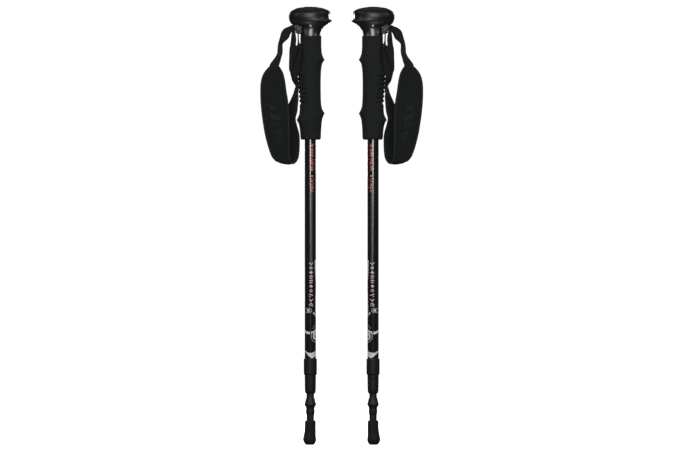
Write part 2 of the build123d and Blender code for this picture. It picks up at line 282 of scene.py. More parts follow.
# ------------------------------------------------------------------ materials
class Mat:
    """A Principled material with short calls for its nodes. Scales are in features per metre."""

    def __init__(self, name, rough=0.5, spec=0.5, metal=0.0, colour=None, **sockets):
        self.m = bpy.data.materials.new(name)
        self.m.use_nodes = True
        self.t = self.m.node_tree
        self.b = next(n for n in self.t.nodes if n.type == "BSDF_PRINCIPLED")
        self.b.inputs["Roughness"].default_value = rough
        self.b.inputs["Specular IOR Level"].default_value = spec
        self.b.inputs["Metallic"].default_value = metal
        if colour:
            self.b.inputs["Base Color"].default_value = (*colour, 1)
            self.m.diffuse_color = (*colour, 1)
        for k, v in sockets.items():
            self.b.inputs[k.replace("_", " ")].default_value = v
        self.height = None

    def node(self, kind, **values):
        n = self.t.nodes.new(kind)
        for k, v in values.items():
            if k.startswith("in_"):
                key = k[3:]
                key = int(key) if key.isdigit() else key.replace("_", " ")
                if isinstance(v, bpy.types.NodeSocket):
                    self.t.links.new(v, n.inputs[key])
                else:
                    n.inputs[key].default_value = v
            else:
                setattr(n, k, v)
        return n

    def coords(self, scale=(1, 1, 1), uv=False, rot=(0, 0, 0)):
        if uv:
            out = self.node("ShaderNodeUVMap", uv_map="cloth").outputs[0]
        else:
            out = self.node("ShaderNodeTexCoord").outputs["Object"]
        return self.node("ShaderNodeMapping", in_Vector=out, in_Scale=scale, in_Rotation=rot).outputs[0]

    def noise(self, scale, detail=2.0, rough=0.5, vec=None, stretch=(1, 1, 1), uv=False):
        vec = vec or self.coords(stretch, uv)
        return self.node("ShaderNodeTexNoise", in_Vector=vec, in_Scale=scale, in_Detail=detail, in_Roughness=rough).outputs[0]

    def cells(self, scale, vec=None, feature="F1", smooth=None):
        vec = vec or self.coords()
        n = self.node("ShaderNodeTexVoronoi", in_Vector=vec, in_Scale=scale, feature=feature)
        return n.outputs["Distance"]

    def math(self, op, a, b=None, c=None):
        n = self.t.nodes.new("ShaderNodeMath")
        n.operation = op
        for i, v in enumerate((a, b, c)):
            if v is None:
                continue
            if isinstance(v, bpy.types.NodeSocket):
                self.t.links.new(v, n.inputs[i])
            else:
                n.inputs[i].default_value = v
        return n.outputs[0]

    def split(self, vec):
        return self.node("ShaderNodeSeparateXYZ", in_Vector=vec).outputs

    def ramp(self, fac, stops, ease="LINEAR"):
        n = self.t.nodes.new("ShaderNodeValToRGB")
        n.color_ramp.interpolation = ease
        els = n.color_ramp.elements
        while len(els) < len(stops):
            els.new(0.5)
        for e, (pos, col) in zip(els, stops):
            e.position = pos
            e.color = (*col, 1) if len(col) == 3 else col
        self.t.links.new(fac, n.inputs[0])
        return n.outputs[0]

    def span(self, fac, lo, hi, a=0.3, b=0.7):
        n = self.t.nodes.new("ShaderNodeMapRange")
        self.t.links.new(fac, n.inputs[0])
        for i, v in ((1, a), (2, b), (3, lo), (4, hi)):
            n.inputs[i].default_value = v
        return n.outputs[0]

    def colour(self, fac, *cols, a=0.3, b=0.7):
        k = len(cols)
        stops = [(a + (b - a) * i / (k - 1), c) for i, c in enumerate(cols)]
        out = self.ramp(fac, stops)
        self.t.links.new(out, self.b.inputs["Base Color"])
        self.m.diffuse_color = (*cols[0], 1)
        return out

    def mix(self, fac, a, b):
        n = self.t.nodes.new("ShaderNodeMix")
        n.data_type = "RGBA"
        for i, v in ((0, fac), (6, a), (7, b)):
            if isinstance(v, bpy.types.NodeSocket):
                self.t.links.new(v, n.inputs[i])
            else:
                n.inputs[i].default_value = v if i == 0 else (*v, 1)
        return n.outputs[2]

    def set(self, socket, out):
        self.t.links.new(out, self.b.inputs[socket])

    def rough(self, fac, lo, hi, a=0.3, b=0.7):
        self.set("Roughness", self.span(fac, lo, hi, a, b))

    def bump(self, height, mm, strength=1.0):
        """Adds a relief: mm is its depth for a height from 0 to 1."""
        n = self.t.nodes.new("ShaderNodeBump")
        n.inputs["Strength"].default_value = strength
        n.inputs["Distance"].default_value = mm / 1000
        self.t.links.new(height, n.inputs["Height"])
        if self.height:
            self.t.links.new(self.height, n.inputs["Normal"])
        self.height = n.outputs[0]
        self.t.links.new(self.height, self.b.inputs["Normal"])
        return self


def m_tube():
    m = Mat("outer_tube_lacquer", rough=0.25, spec=0.5)
    soft = m.noise(45, 3)
    draw = m.noise(900, 2, stretch=(1, 1, 0.012))
    m.colour(soft, (0.0020, 0.0026, 0.0025), (0.0032, 0.0038, 0.0037))
    wear = m.noise(260, 5, 0.7)
    m.rough(wear, 0.15, 0.20)
    m.bump(draw, 0.0008)
    return m.m


def m_inner_tube():
    m = Mat("inner_tube_anodised", rough=0.34, spec=0.45)
    turn = m.noise(2600, 2, stretch=(0.02, 0.02, 1))
    m.colour(turn, (0.0060, 0.0064, 0.0068), (0.0090, 0.0095, 0.0100))
    m.rough(m.noise(300, 4, 0.7, stretch=(1, 1, 0.2)), 0.30, 0.42)
    m.bump(turn, 0.004)
    return m.m


def m_plastic(name, cols, rough, spec, grain=3600, depth=0.010, blotch=90):
    m = Mat(name, spec=spec)
    m.colour(m.noise(blotch, 4, 0.6), *cols)
    m.rough(m.noise(500, 4, 0.65), rough - 0.05, rough + 0.06)
    m.bump(m.noise(grain, 2, 0.6), depth).bump(m.noise(grain * 0.23, 3), depth * 0.6)
    return m.m


def m_foam():
    m = Mat("grip_foam", spec=0.10)
    big = m.noise(70, 4, 0.6)
    m.colour(big, (0.0098, 0.0120, 0.0114), (0.0128, 0.0152, 0.0146))
    m.rough(m.noise(420, 3), 0.74, 0.88)
    cell = m.cells(1500)
    m.bump(cell, 0.035).bump(m.noise(3600, 2), 0.012)
    return m.m


def m_rubber():
    m = Mat("foot_rubber", spec=0.12)
    m.colour(m.noise(120, 4, 0.7), (0.0100, 0.0118, 0.0112), (0.0150, 0.0162, 0.0156))
    m.rough(m.noise(600, 3), 0.66, 0.84)
    m.bump(m.noise(2600, 3, 0.7), 0.02).bump(m.noise(260, 3), 0.03)
    return m.m


def m_webbing():
    """Flat woven nylon: ribs across, each crossed by fine yarns along the webbing."""
    m = Mat("strap_webbing", rough=0.8, spec=0.07, Sheen_Weight=0.04, Sheen_Roughness=0.5)
    x, y, _ = m.split(m.coords(uv=True))          # hundredths of a metre
    a = m.math("SINE", m.math("MULTIPLY", y, TAU * 10 / 1.25))
    b = m.math("SINE", m.math("MULTIPLY", x, TAU * 10 / 0.9))
    ab = m.math("MULTIPLY", a, b)
    rib = m.math("MULTIPLY_ADD", ab, 0.5, 0.5)
    yarn = m.math("MULTIPLY_ADD", m.math("SINE", m.math("MULTIPLY", m.math("ADD", x, m.math("MULTIPLY", y, 0.7)), TAU * 10 / 0.28)), 0.5, 0.5)
    # the colour follows the rib height: painted shade, darker in the gaps of the weave
    low = m.mix(rib, (0.0062, 0.0066, 0.0066), (0.0150, 0.0154, 0.0152))
    fuzz = m.noise(1.6, 4, 0.7, uv=True)
    m.set("Base Color", m.mix(m.span(fuzz, 0.0, 0.35), low, (0.022, 0.022, 0.021)))
    m.m.diffuse_color = (0.012, 0.012, 0.012, 1)
    m.bump(rib, 0.16).bump(yarn, 0.03).bump(m.noise(9, 3, 0.7, uv=True), 0.03)
    return m.m


def m_knit(name, cols, scale=1.0):
    """Warp-knit facing over foam: small slanted loops in columns."""
    m = Mat(name, rough=0.86, spec=0.08, Sheen_Weight=0.04, Sheen_Roughness=0.5)
    x, y, _ = m.split(m.coords(uv=True))
    col = m.math("MULTIPLY", x, 10 / (1.05 * scale))
    tri = m.math("PINGPONG", col, 0.5)
    loop = m.math("SINE", m.math("MULTIPLY", m.math("ADD", m.math("MULTIPLY", y, 10 / (0.85 * scale)), m.math("MULTIPLY", tri, 1.3)), TAU))
    ridge = m.math("SINE", m.math("MULTIPLY", tri, TAU))
    h = m.math("MULTIPLY", m.math("MULTIPLY_ADD", loop, 0.5, 0.5), m.math("MULTIPLY_ADD", ridge, 0.5, 0.5))
    # the colour follows the loop height: painted shade, darker in the hollows between the loops
    loop_shade = m.mix(h, cols[0], cols[1])
    patch = m.noise(0.9, 4, 0.65, uv=True)
    m.set("Base Color", m.mix(m.span(patch, 0.0, 0.3), loop_shade, cols[2]))
    m.m.diffuse_color = (*cols[0], 1)
    m.bump(h, 0.10).bump(m.noise(0.8, 3, uv=True), 0.35).bump(m.noise(12, 2, uv=True), 0.02)
    return m.m


def m_thread():
    m = Mat("strap_thread", rough=0.6, spec=0.3)
    m.colour(m.noise(2600, 2), (0.020, 0.023, 0.023), (0.036, 0.040, 0.040))
    m.bump(m.noise(6000, 2, stretch=(1, 1, 0.3)), 0.02)
    return m.m


def m_print(name, col, worn, spec=0.4):
    """Printed ink, a little uneven, with pinholes where it has worn."""
    m = Mat(name, spec=spec)
    spots = m.noise(1400, 4, 0.7)
    m.colour(spots, worn, col, col, a=0.32, b=0.48)
    m.rough(m.noise(700, 3), 0.30, 0.42)
    m.bump(m.noise(2400, 2), 0.003)
    return m.m


def m_metal(name, cols, rough=0.3, turn=True):
    m = Mat(name, metal=1.0)
    n = m.noise(3200, 2, stretch=(0.02, 0.02, 1) if turn else (1, 1, 1))
    m.colour(n, *cols)
    m.rough(m.noise(700, 4, 0.7), rough - 0.06, rough + 0.08)
    m.bump(n, 0.004)
    return m.m


def m_insert():
    m = Mat("head_window", rough=0.10, spec=0.4, IOR=1.25, Transmission_Weight=0.85)
    m.colour(m.noise(160, 3), (0.93, 0.94, 0.94), (0.98, 0.98, 0.98))
    m.bump(m.noise(420, 2), 0.004)
    return m.m


TUBE, INNER = m_tube(), m_inner_tube()
COLLAR = m_plastic("collar_plastic", ((0.0080, 0.0092, 0.0088), (0.0105, 0.0118, 0.0113)), 0.56, 0.14)
FERRULE = m_plastic("ferrule_plastic", ((0.0080, 0.0080, 0.0080), (0.0112, 0.0112, 0.0112)), 0.55, 0.20, depth=0.014)
def m_head(name, cols):
    """Polished at the neck, and duller where the palm rests on the knob."""
    m = Mat(name, spec=0.28)
    m.colour(m.noise(90, 4, 0.6), *cols)
    _, _, z = m.split(m.coords())
    dull = m.span(z, 0.0, 0.07, a=0.668, b=0.684)
    m.set("Specular IOR Level", m.span(z, 0.28, 0.10, a=0.672, b=0.686))
    m.set("Roughness", m.math("ADD", dull, m.span(m.noise(500, 4, 0.65), 0.22, 0.28)))
    m.bump(m.noise(3600, 2, 0.6), 0.002).bump(m.noise(830, 3), 0.001)
    return m.m


HEAD = m_head("head_plastic", ((0.0078, 0.0096, 0.0090), (0.0102, 0.0120, 0.0114)))
LUG = m_plastic("lug_plastic", ((0.0060, 0.0064, 0.0064), (0.0085, 0.0090, 0.0090)), 0.38, 0.20, depth=0.001)
CORE = m_plastic("core_nylon", ((0.0110, 0.0115, 0.0120), (0.0160, 0.0165, 0.0170)), 0.50, 0.30)
RED_NYLON = m_plastic("expander_nylon", ((0.30, 0.016, 0.012), (0.38, 0.024, 0.018)), 0.45, 0.4)
FOAM, RUBBER, WEBBING, THREAD = m_foam(), m_rubber(), m_webbing(), m_thread()
KNIT = m_knit("strap_knit", ((0.0062, 0.0082, 0.0080), (0.0128, 0.0160, 0.0156), (0.0148, 0.0180, 0.0176)))
BINDING = m_plastic("strap_binding", ((0.0165, 0.0200, 0.0195), (0.0240, 0.0280, 0.0272)), 0.78, 0.08, grain=1500, depth=0.05)
RED = m_print("print_red", (0.36, 0.030, 0.018), (0.10, 0.012, 0.010))
SALMON = m_print("print_salmon", (0.80, 0.34, 0.26), (0.40, 0.06, 0.04))
ROSE = m_print("print_rose", (0.72, 0.50, 0.52), (0.20, 0.08, 0.10))
WHITE = m_print("print_white", (0.86, 0.86, 0.84), (0.30, 0.30, 0.29))
GREY = m_print("print_grey", (0.30, 0.33, 0.32), (0.10, 0.11, 0.11))
STEEL = m_metal("plated_steel", ((0.50, 0.50, 0.51), (0.62, 0.62, 0.63)), 0.28)
DARK_STEEL = m_metal("black_screw", ((0.10, 0.10, 0.11), (0.18, 0.18, 0.19)), 0.34, False)
CARBIDE = m_metal("carbide", ((0.30, 0.30, 0.31), (0.42, 0.42, 0.44)), 0.32)
ALU = m_metal("turned_aluminium", ((0.62, 0.62, 0.64), (0.74, 0.74, 0.76)), 0.26)
BRASS = m_metal("turned_brass", ((0.60, 0.42, 0.16), (0.72, 0.54, 0.24)), 0.28)
WINDOW = m_insert()
# dark grey ink for a band beside the tube's bright line: partly grey print, partly a painted reflection of a light to
# the front side
PRINT_AND_REFLECTION = m_print("print_grey_and_reflection", (0.030, 0.032, 0.034), (0.022, 0.024, 0.025), 0.4)
MARK = m_plastic("pressed_mark", ((0.0130, 0.0160, 0.0160), (0.0185, 0.0220, 0.0215)), 0.70, 0.10)

# CAD nodes that stay as they are, inside the poles
for side in SIDES:
    for node, mat in (
        ("carbide_tip", CARBIDE), ("lower_stud_plug", ALU), ("lower_expander", RED_NYLON), ("lower_cone_nut", BRASS),
        ("middle_stud_plug", ALU), ("middle_expander", RED_NYLON), ("middle_cone_nut", BRASS), ("shock_plug", ALU),
        ("shock_rod", STEEL), ("shock_nut", STEEL), ("shock_spring", STEEL),
    ):
        ob = frame["nodes"][f"{side}_{node}"]
        ob.data.materials.clear()
        ob.data.materials.append(mat)


# ------------------------------------------------------------------ tubes
def tube(r, wall, z0, z1, lip=0.25):
    outer = rounded([(r - wall + 0.02, z0), (r, z0, lip), (r, z1, lip), (r - wall + 0.02, z1)], seg=4)
    # long walls are cut into spans, so that shading and fades stay even
    body = [p for p in outer if p[1] < (z0 + z1) / 2]
    top = [p for p in outer if p[1] >= (z0 + z1) / 2]
    mid = [(r, z0 + (z1 - z0) * k / 12) for k in range(1, 12)]
    inner = [(r - wall, z0 + 0.05)] + [(r - wall, z0 + (z1 - z0) * k / 4) for k in range(1, 4)] + [(r - wall, z1 - 0.05)]
    return lathe(ring_profile(body + mid + top, inner), 112, wrap=True)


piece("upper_tube_skin", tube(9.0, 0.8, 115.2, 600.0), "upper_section", TUBE, ["upper_tube"])
piece("middle_tube_skin", tube(7.5, 0.8, 85.5, 545.0), "middle_section", INNER, ["middle_tube"])
piece("lower_tube_skin", tube(6.0, 0.8, 60.0, 470.0), "lower_section", INNER, ["lower_tube"])

# upper collar: a plain sleeve with a rolled top edge, a fine groove and a lip over the collar below
outer = rounded([
    (9.03, 137.2), (9.03, 138.0, 0.2), (9.8, 137.9, 0.3), (10.45, 137.0, 0.5), (10.62, 135.6), (10.60, 131.0),
    (10.60, 130.7, 0.1), (10.36, 130.5, 0.1), (10.36, 130.1, 0.1), (10.59, 129.9, 0.1), (10.58, 125.0),
    (10.52, 116.6), (10.50, 114.4, 0.5), (10.1, 112.4, 0.4), (9.35, 111.55, 0.15), (8.75, 111.55, 0.1), (8.6, 112.6, 0.1),
])[::-1]
inner = [(7.75, 112.7), (7.7, 113.0), (7.7, 115.0), (8.95, 115.2), (8.95, 137.2)]
piece("upper_collar_shell", lathe(ring_profile(outer, inner), 128, wrap=True), "upper_section", COLLAR, ["upper_collar"])

outer = rounded([
    (7.55, 111.7), (7.55, 112.35, 0.15), (8.4, 112.3, 0.15), (8.45, 111.3, 0.1), (9.0, 111.25, 0.12), (9.1, 110.4, 0.3), (9.06, 105.0), (9.03, 104.8, 0.08), (8.84, 104.6, 0.08),
    (8.84, 104.2, 0.08), (9.02, 104.0, 0.08), (8.95, 98.0), (8.84, 92.0), (8.74, 87.6, 0.6), (8.35, 84.6, 0.8),
    (7.6, 82.6, 0.6), (6.9, 81.85, 0.3), (6.5, 81.8, 0.2),
])[::-1]
inner = [(6.35, 82.0), (6.25, 82.6), (6.25, 85.2), (7.45, 85.5), (7.45, 111.5)]
piece("middle_collar_shell", lathe(ring_profile(outer, inner), 128, wrap=True), "middle_section", COLLAR, ["middle_collar"])

# ------------------------------------------------------------------ tip ferrule
outer = rounded([
    (6.1, 74.8), (6.1, 75.2, 0.1), (6.6, 75.2, 0.2), (7.0, 73.6, 0.5), (7.5, 71.5, 0.6), (8.1, 68.4, 0.8), (9.0, 65.7, 0.5), (9.35, 65.0, 0.3),
    (9.35, 64.3, 0.3), (9.15, 63.2, 0.4), (7.75, 61.6, 0.8), (6.95, 59.2, 0.8), (6.55, 57.3, 0.4), (6.72, 55.6, 0.5), (6.85, 53.2, 0.8),
    (6.75, 50.4, 0.8), (6.25, 48.7, 0.5), (5.98, 47.0, 0.5), (5.98, 41.0, 0.5), (5.72, 39.4), (5.7, 20.0, 1.0), (3.9, 9.0, 0.6), (3.2, 8.0, 0.3),
])[::-1]
inner = [(2.3, 8.2), (2.3, 16.9), (5.9, 59.6), (5.95, 74.6)]
body = lathe(ring_profile(outer, inner), 112, wrap=True)
fins = []
for k in range(6):      # moulded ribs that stiffen the cone above the flange
    a = TAU * k / 6 + 0.26
    c, s = math.cos(a), math.sin(a)
    sec = [(6.4, 74.3), (7.1, 73.9), (7.95, 70.6), (9.2, 66.0), (8.6, 65.0), (6.4, 65.0)]
    sec = rounded(sec + sec[:1], 0.3, 3)[:-1]
    loops = []
    for w in (-0.55, -0.45, 0.45, 0.55):
        k2 = 0.97 if abs(w) > 0.5 else 1.0
        loops.append([(r * k2 * c - w * s, r * k2 * s + w * c, 69 + (z - 69) * k2) for r, z in sec])
    fins.append(loops_mesh(loops, True, "fan", "fan"))
# the coarse thread that a basket screws on to
thread = []
turns, n = 2.25, 150
for i in range(n + 1):
    t = i / n
    a = TAU * turns * t
    z = 50.4 + 2.6 * turns * t * 0.92
    grow = min(1.0, t / 0.08, (1 - t) / 0.08)
    r0 = 6.45
    sec = [(r0, z - 0.75), (r0 + 0.35 + 0.55 * grow, z - 0.28), (r0 + 0.35 + 0.55 * grow, z + 0.28), (r0, z + 0.75)]
    thread.append([(r * math.cos(a), r * math.sin(a), q) for r, q in sec])
piece("tip_ferrule_shell", merge(body, *fins, loops_mesh(thread, True, "fan", "fan")), "lower_section", FERRULE, ["tip_ferrule"])

# ------------------------------------------------------------------ rubber foot
FOOT_C = Line([(0, -0.9), (5.9, -0.95), (8.3, -1.1), (10.7, -1.1), (13.9, -0.95), (17.1, -0.7), (20.3, -0.35), (26.7, -0.1), (36, -0.05), (37.9, 0), (39.2, 0)])
outer = rounded([
    (0.0, 0.9), (2.2, 0.9), (2.3, 0.0, 0.15), (6.2, 0.0, 0.4), (7.3, 0.8, 0.8), (8.6, 2.6, 1.0), (9.5, 4.2, 1.0), (10.15, 6.0, 1.0), (10.5, 8.3, 1.2), (10.3, 10.7, 1.4),
    (9.75, 13.9, 1.6), (9.4, 17.1, 1.6), (9.05, 20.3, 1.4), (8.9, 23.6), (8.88, 23.9, 0.12), (8.62, 24.1, 0.12), (8.62, 24.8, 0.12), (8.86, 25.0, 0.12),
    (8.84, 26.6), (8.82, 26.9, 0.12), (8.58, 27.1, 0.12), (8.58, 27.8, 0.12), (8.8, 28.0, 0.12), (8.78, 29.7), (8.76, 29.9, 0.12), (8.5, 30.1, 0.12), (8.5, 30.8, 0.12),
    (8.74, 31.0, 0.12), (8.68, 34.0), (8.66, 36.2, 0.8), (8.3, 37.9, 0.7), (7.5, 39.0, 0.5), (6.6, 39.2, 0.4), (6.2, 38.6, 0.3), (6.1, 36.0), (6.1, 20.0), (4.5, 8.0), (0.0, 6.0),
], seg=4)
foot = lathe(outer, 112, centre=FOOT_C)
tread = []
for u, y, z in foot[0]:     # grooves across the sole, and a dished middle
    r, a = math.hypot(u + 0.9, y), math.atan2(y, u + 0.9)
    if z < 0.85 and 2.25 < r < 7.6:
        g = abs(((a / TAU * 8) % 1) - 0.5)
        if g < 0.13:
            z = max(z, 0.9 if r < 6.8 else 1.3)
    tread.append((u, y, z))
piece("rubber_foot_skin", (tread, foot[1]), "foot", RUBBER, ["rubber_foot"])

# ------------------------------------------------------------------ grip
GR = Line([
    (488.0, -14.4), (490.7, -15.6), (498.7, -16.2), (508.3, -17.4), (514.7, -19.2), (519.5, -22.0), (524.3, -19.6), (529.9, -17.6), (537.1, -17.0),
    (544.0, -17.0), (552.0, -17.8), (560.0, -18.4), (568.0, -19.2), (576.0, -19.9), (585.0, -20.6), (593.0, -20.7), (602.0, -18.8), (611.0, -17.4),
    (626.7, -16.4), (639.5, -16.0), (653.9, -15.8),
], sharp=(519.5,), ease=1.15)
GF = Line([
    (488.0, 15.4), (490.7, 17.0), (498.7, 17.2), (508.3, 17.7), (514.7, 18.3), (519.5, 18.9), (524.3, 20.2), (530.3, 23.0), (534.0, 20.6), (538.5, 18.7),
    (543.5, 17.6), (556.3, 16.9), (575.5, 16.7), (594.7, 17.1), (605.9, 18.3), (610.7, 19.6), (615.5, 23.0), (620.3, 20.6), (626.7, 18.5), (639.5, 17.7), (653.9, 17.7),
], sharp=(530.3, 615.5), ease=1.1)
GB = Line([(488.0, 11.9), (489.6, 13.0), (492.0, 13.5), (519.5, 13.9), (560, 13.4), (600, 13.7), (640, 13.4), (652.6, 13.4), (653.9, 13.0)])
GROOVE_Z = [589.0, 582.2, 575.3, 568.1, 560.9, 553.8, 546.4]


def grip_point(z, a):
    """a is the angle round the grip, 0 at the front."""
    rear, front, b = GR(z), GF(z), GB(z)
    c, h = (rear + front) / 2, (front - rear) / 2
    ca, sa = math.cos(a), math.sin(a)
    e = 0.92
    pu = math.copysign(abs(ca) ** e, ca)
    py = math.copysign(abs(sa) ** e, sa)
    u, y = c + h * pu, b * py
    back = max(0.0, -ca)                       # 1 at the rear
    if 541.5 < z < 594 and back > 0.2:       # ribs that the palm rests on
        fade = min(1.0, (back - 0.2) / 0.25) * min(1.0, (z - 541.5) / 2) * min(1.0, (594 - z) / 2)
        d = min(abs(z - q) for q in GROOVE_Z)
        k = (0.5 - 0.5 * math.cos(min(d, 3.5) / 3.5 * math.pi)) ** 0.7       # 1 on a rib, 0 in a groove
        depth = 2.0 * fade * (1 - k)
        n = Vector((pu / h, py / b, 0)).normalized()
        u -= n.x * depth
        y -= n.y * depth
    return (u, y, z)


loops = []
zs = []
z = 488.0
while z < 653.9:
    zs.append(z)
    z += 0.55 if (z < 493 or 514 < z < 534 or 541 < z < 597 or 610 < z < 621) else 1.3
zs.append(653.9)
for z in zs:
    loops.append([grip_point(z, TAU * k / 120) for k in range(120)])
inner = [[(r * math.cos(TAU * k / 120), r * math.sin(TAU * k / 120), q) for k in range(120)] for r, q in ((11.0, 653.9), (11.0, 560.0), (11.0, 489.4), (11.2, 488.0))]
piece("grip_sleeve_skin", loops_mesh(loops + inner, True, wrap=True), "handle", FOAM, ["grip_sleeve"], angle=50)
core = lathe(ring_profile([(11.0, 488.7), (11.0, 676.0)], [(9.35, 488.5), (9.25, 489.4), (9.25, 653.9), (9.0, 654.0), (3.25, 654.1), (3.25, 657.9), (8.0, 658.0), (8.0, 676.0)]), 96, wrap=True)
piece("grip_core_skin", core, "handle", CORE, ["grip_core"])

# ------------------------------------------------------------------ head: rows of rear u, rear z, front u, front z, half width
H_ROWS = [
    (-15.6, 653.9, 16.9, 653.9, 13.1), (-15.9, 656.3, 16.5, 656.3, 13.0), (-16.0, 658.7, 16.5, 658.7, 12.95), (-16.0, 661.0, 17.1, 661.2, 12.92),
    (-16.2, 663.5, 18.4, 663.5, 13.0), (-16.6, 666.3, 20.1, 666.2, 13.25), (-18.4, 668.8, 21.8, 668.3, 13.7), (-22.4, 670.2, 24.0, 670.2, 14.15),
    (-26.6, 671.2, 26.4, 671.8, 14.5), (-29.3, 672.4, 28.9, 673.4, 14.8), (-31.0, 673.9, 31.6, 675.1, 15.1), (-32.4, 676.1, 34.0, 676.5, 15.4),
    (-33.4, 678.4, 35.3, 677.4, 15.8), (-34.1, 680.8, 34.1, 679.0, 16.2), (-34.5, 683.0, 31.7, 680.9, 16.5), (-34.6, 685.4, 30.6, 682.4, 16.8),
    (-34.4, 687.7, 30.6, 685.9, 16.95), (-33.6, 690.2, 31.3, 688.8, 16.95), (-32.2, 692.4, 31.9, 690.9, 16.6), (-30.0, 694.4, 32.0, 692.6, 16.0),
    (-27.2, 696.1, 31.3, 693.7, 15.2),
]
RIM = [  # the groove round the cap, then the cap itself
    (-26.9, 696.25, 31.1, 693.8, 15.05), (-26.2, 696.3, 30.4, 693.8, 14.55), (-25.6, 696.8, 29.9, 694.2, 14.4), (-25.5, 697.1, 29.8, 694.5, 14.5),
    (-23.6, 697.9, 28.6, 695.3, 13.9), (-20.6, 698.9, 26.2, 696.6, 12.8), (-16.6, 699.7, 21.6, 698.2, 10.8), (-11.6, 700.5, 15.6, 699.6, 8.1),
    (-6.4, 700.95, 9.6, 700.55, 5.2), (-2.4, 701.1, 4.8, 701.0, 2.6),
]


def head_loop(row, n=128, e=0.96):
    ur, zr, uf, zf, b = row
    out = []
    for k in range(n):
        a = TAU * k / n
        ca, sa = math.cos(a), math.sin(a)
        pu, py = math.copysign(abs(ca) ** e, ca), math.copysign(abs(sa) ** e, sa)
        t = (1 - ca) / 2
        out.append(((ur + uf) / 2 + (uf - ur) / 2 * pu, b * py, zf * (1 - t) + zr * t))
    return out


body_rows = resample(H_ROWS, 0.9) + RIM[:2]
bore = [[(8.0 * math.cos(TAU * k / 128), 8.0 * math.sin(TAU * k / 128), q) for k in range(128)] for q in (694.0, 676.2)]
bore += [[(11.05 * math.cos(TAU * k / 128), 11.05 * math.sin(TAU * k / 128), q) for k in range(128)] for q in (676.0, 653.9)]
seat = [head_loop((-26.1, 695.2, 30.2, 692.8, 14.4)), head_loop((-12.0, 694.6, 14.0, 694.2, 11.0))]
head = loops_mesh([head_loop(r) for r in body_rows] + seat + bore, True, wrap=True)
cap = loops_mesh([head_loop((-12.0, 695.0, 14.0, 694.6, 9.0)), head_loop((-25.6, 695.5, 29.8, 693.0, 14.3))]
                 + [head_loop(r) for r in RIM[2:4] + resample(RIM[3:], 0.8)[1:]], True, "fan", "fan")
piece("head_shell", head, "handle", HEAD, ["head_body"], angle=34)
piece("head_cap_shell", cap, "handle", HEAD, ["head_cap"], angle=34)


def cut(name, cutters):
    """Takes closed shapes out of a piece on both poles."""
    for side in SIDES:
        ob = PIECES[f"{side}_{name}"]
        me = bpy.data.meshes.new("cutter")
        v, f = cutters
        me.from_pydata([world(side, p) for p in v], [], [tuple(x) for x in f])
        finish_mesh(me)
        tool = bpy.data.objects.new("cutter", me)
        bpy.context.scene.collection.objects.link(tool)
        mod = ob.modifiers.new("cut", "BOOLEAN")
        mod.operation, mod.object, mod.solver = "DIFFERENCE", tool, "EXACT"
        bpy.context.view_layer.update()
        dg = bpy.context.evaluated_depsgraph_get()
        new = bpy.data.meshes.new_from_object(ob.evaluated_get(dg))
        ob.modifiers.clear()
        old, ob.data = ob.data, new
        new.name = old.name
        finish_mesh(new, 34)
        bpy.data.objects.remove(tool)


def cross_cyl(r, u, z, y0, y1, n=40, chamfer=0.0):
    ys = [(y0, r)] + ([(y0 + chamfer, r + chamfer)] if False else []) + [(y1, r)]
    return loops_mesh([[(u + q * math.cos(TAU * k / n), y, z + q * math.sin(TAU * k / n)) for k in range(n)] for y, q in ys], True, "fan", "fan")


cut("head_shell", merge(cross_cyl(1.8, 0.3, 670.1, -20, -11.6), cross_cyl(1.8, 0.3, 670.1, 11.6, 20)))
screws = []
for s in (-1, 1):
    loops = []
    for y, r in ((10.6, 1.55), (11.5, 1.55), (11.9, 1.35), (12.0, 0.9), (12.02, 0.75), (11.3, 0.62)):
        hexed = r < 0.8
        loops.append([
            (0.3 + (r * (math.cos(TAU / 12) / math.cos((TAU * k / 48) % (TAU / 6) - TAU / 12) if hexed else 1)) * math.cos(TAU * k / 48), s * y,
             670.1 + (r * (math.cos(TAU / 12) / math.cos((TAU * k / 48) % (TAU / 6) - TAU / 12) if hexed else 1)) * math.sin(TAU * k / 48))
            for k in range(48)
        ])
    screws.append(loops_mesh(loops, True, "fan", "fan"))
piece("head_screw_pair", merge(*screws), "handle", DARK_STEEL, ["head_screws"], angle=30)

# clear window at the nose: a short crescent let into the front of the head
win = []
for k in range(29):
    t = -1 + 2 * k / 28
    y = 8.6 * t
    f = math.sqrt(max(0.0, 1 - t * t))
    grow = 0.12 + 0.88 * f ** 0.7
    sec = []
    for du, dz in ((0.0, 692.2), (1.6, 692.0), (3.4, 690.7), (5.2, 688.2), (6.4, 685.2), (6.6, 683.2), (6.0, 681.4), (4.6, 680.3), (2.4, 680.6), (0.0, 681.4)):
        sec.append((29.2 + (du + 1.1) * grow, y, 686.4 + (dz - 686.4) * (0.35 + 0.65 * grow)))
    win.append(sec)
piece("head_window", loops_mesh(win, True, "fan", "fan"), "handle", WINDOW, ["head_insert"], levels=1)

# ------------------------------------------------------------------ lug and bar
LC, LD = (-19.5, 664.8), Vector((0.56, -0.828))
LN = Vector((-LD.y, LD.x))


def lug_oval(y, a, b, n=72):
    return [(LC[0] + LD.x * a * math.cos(TAU * k / n) + LN.x * b * math.sin(TAU * k / n), y,
             LC[1] + LD.y * a * math.cos(TAU * k / n) + LN.y * b * math.sin(TAU * k / n)) for k in range(n)]


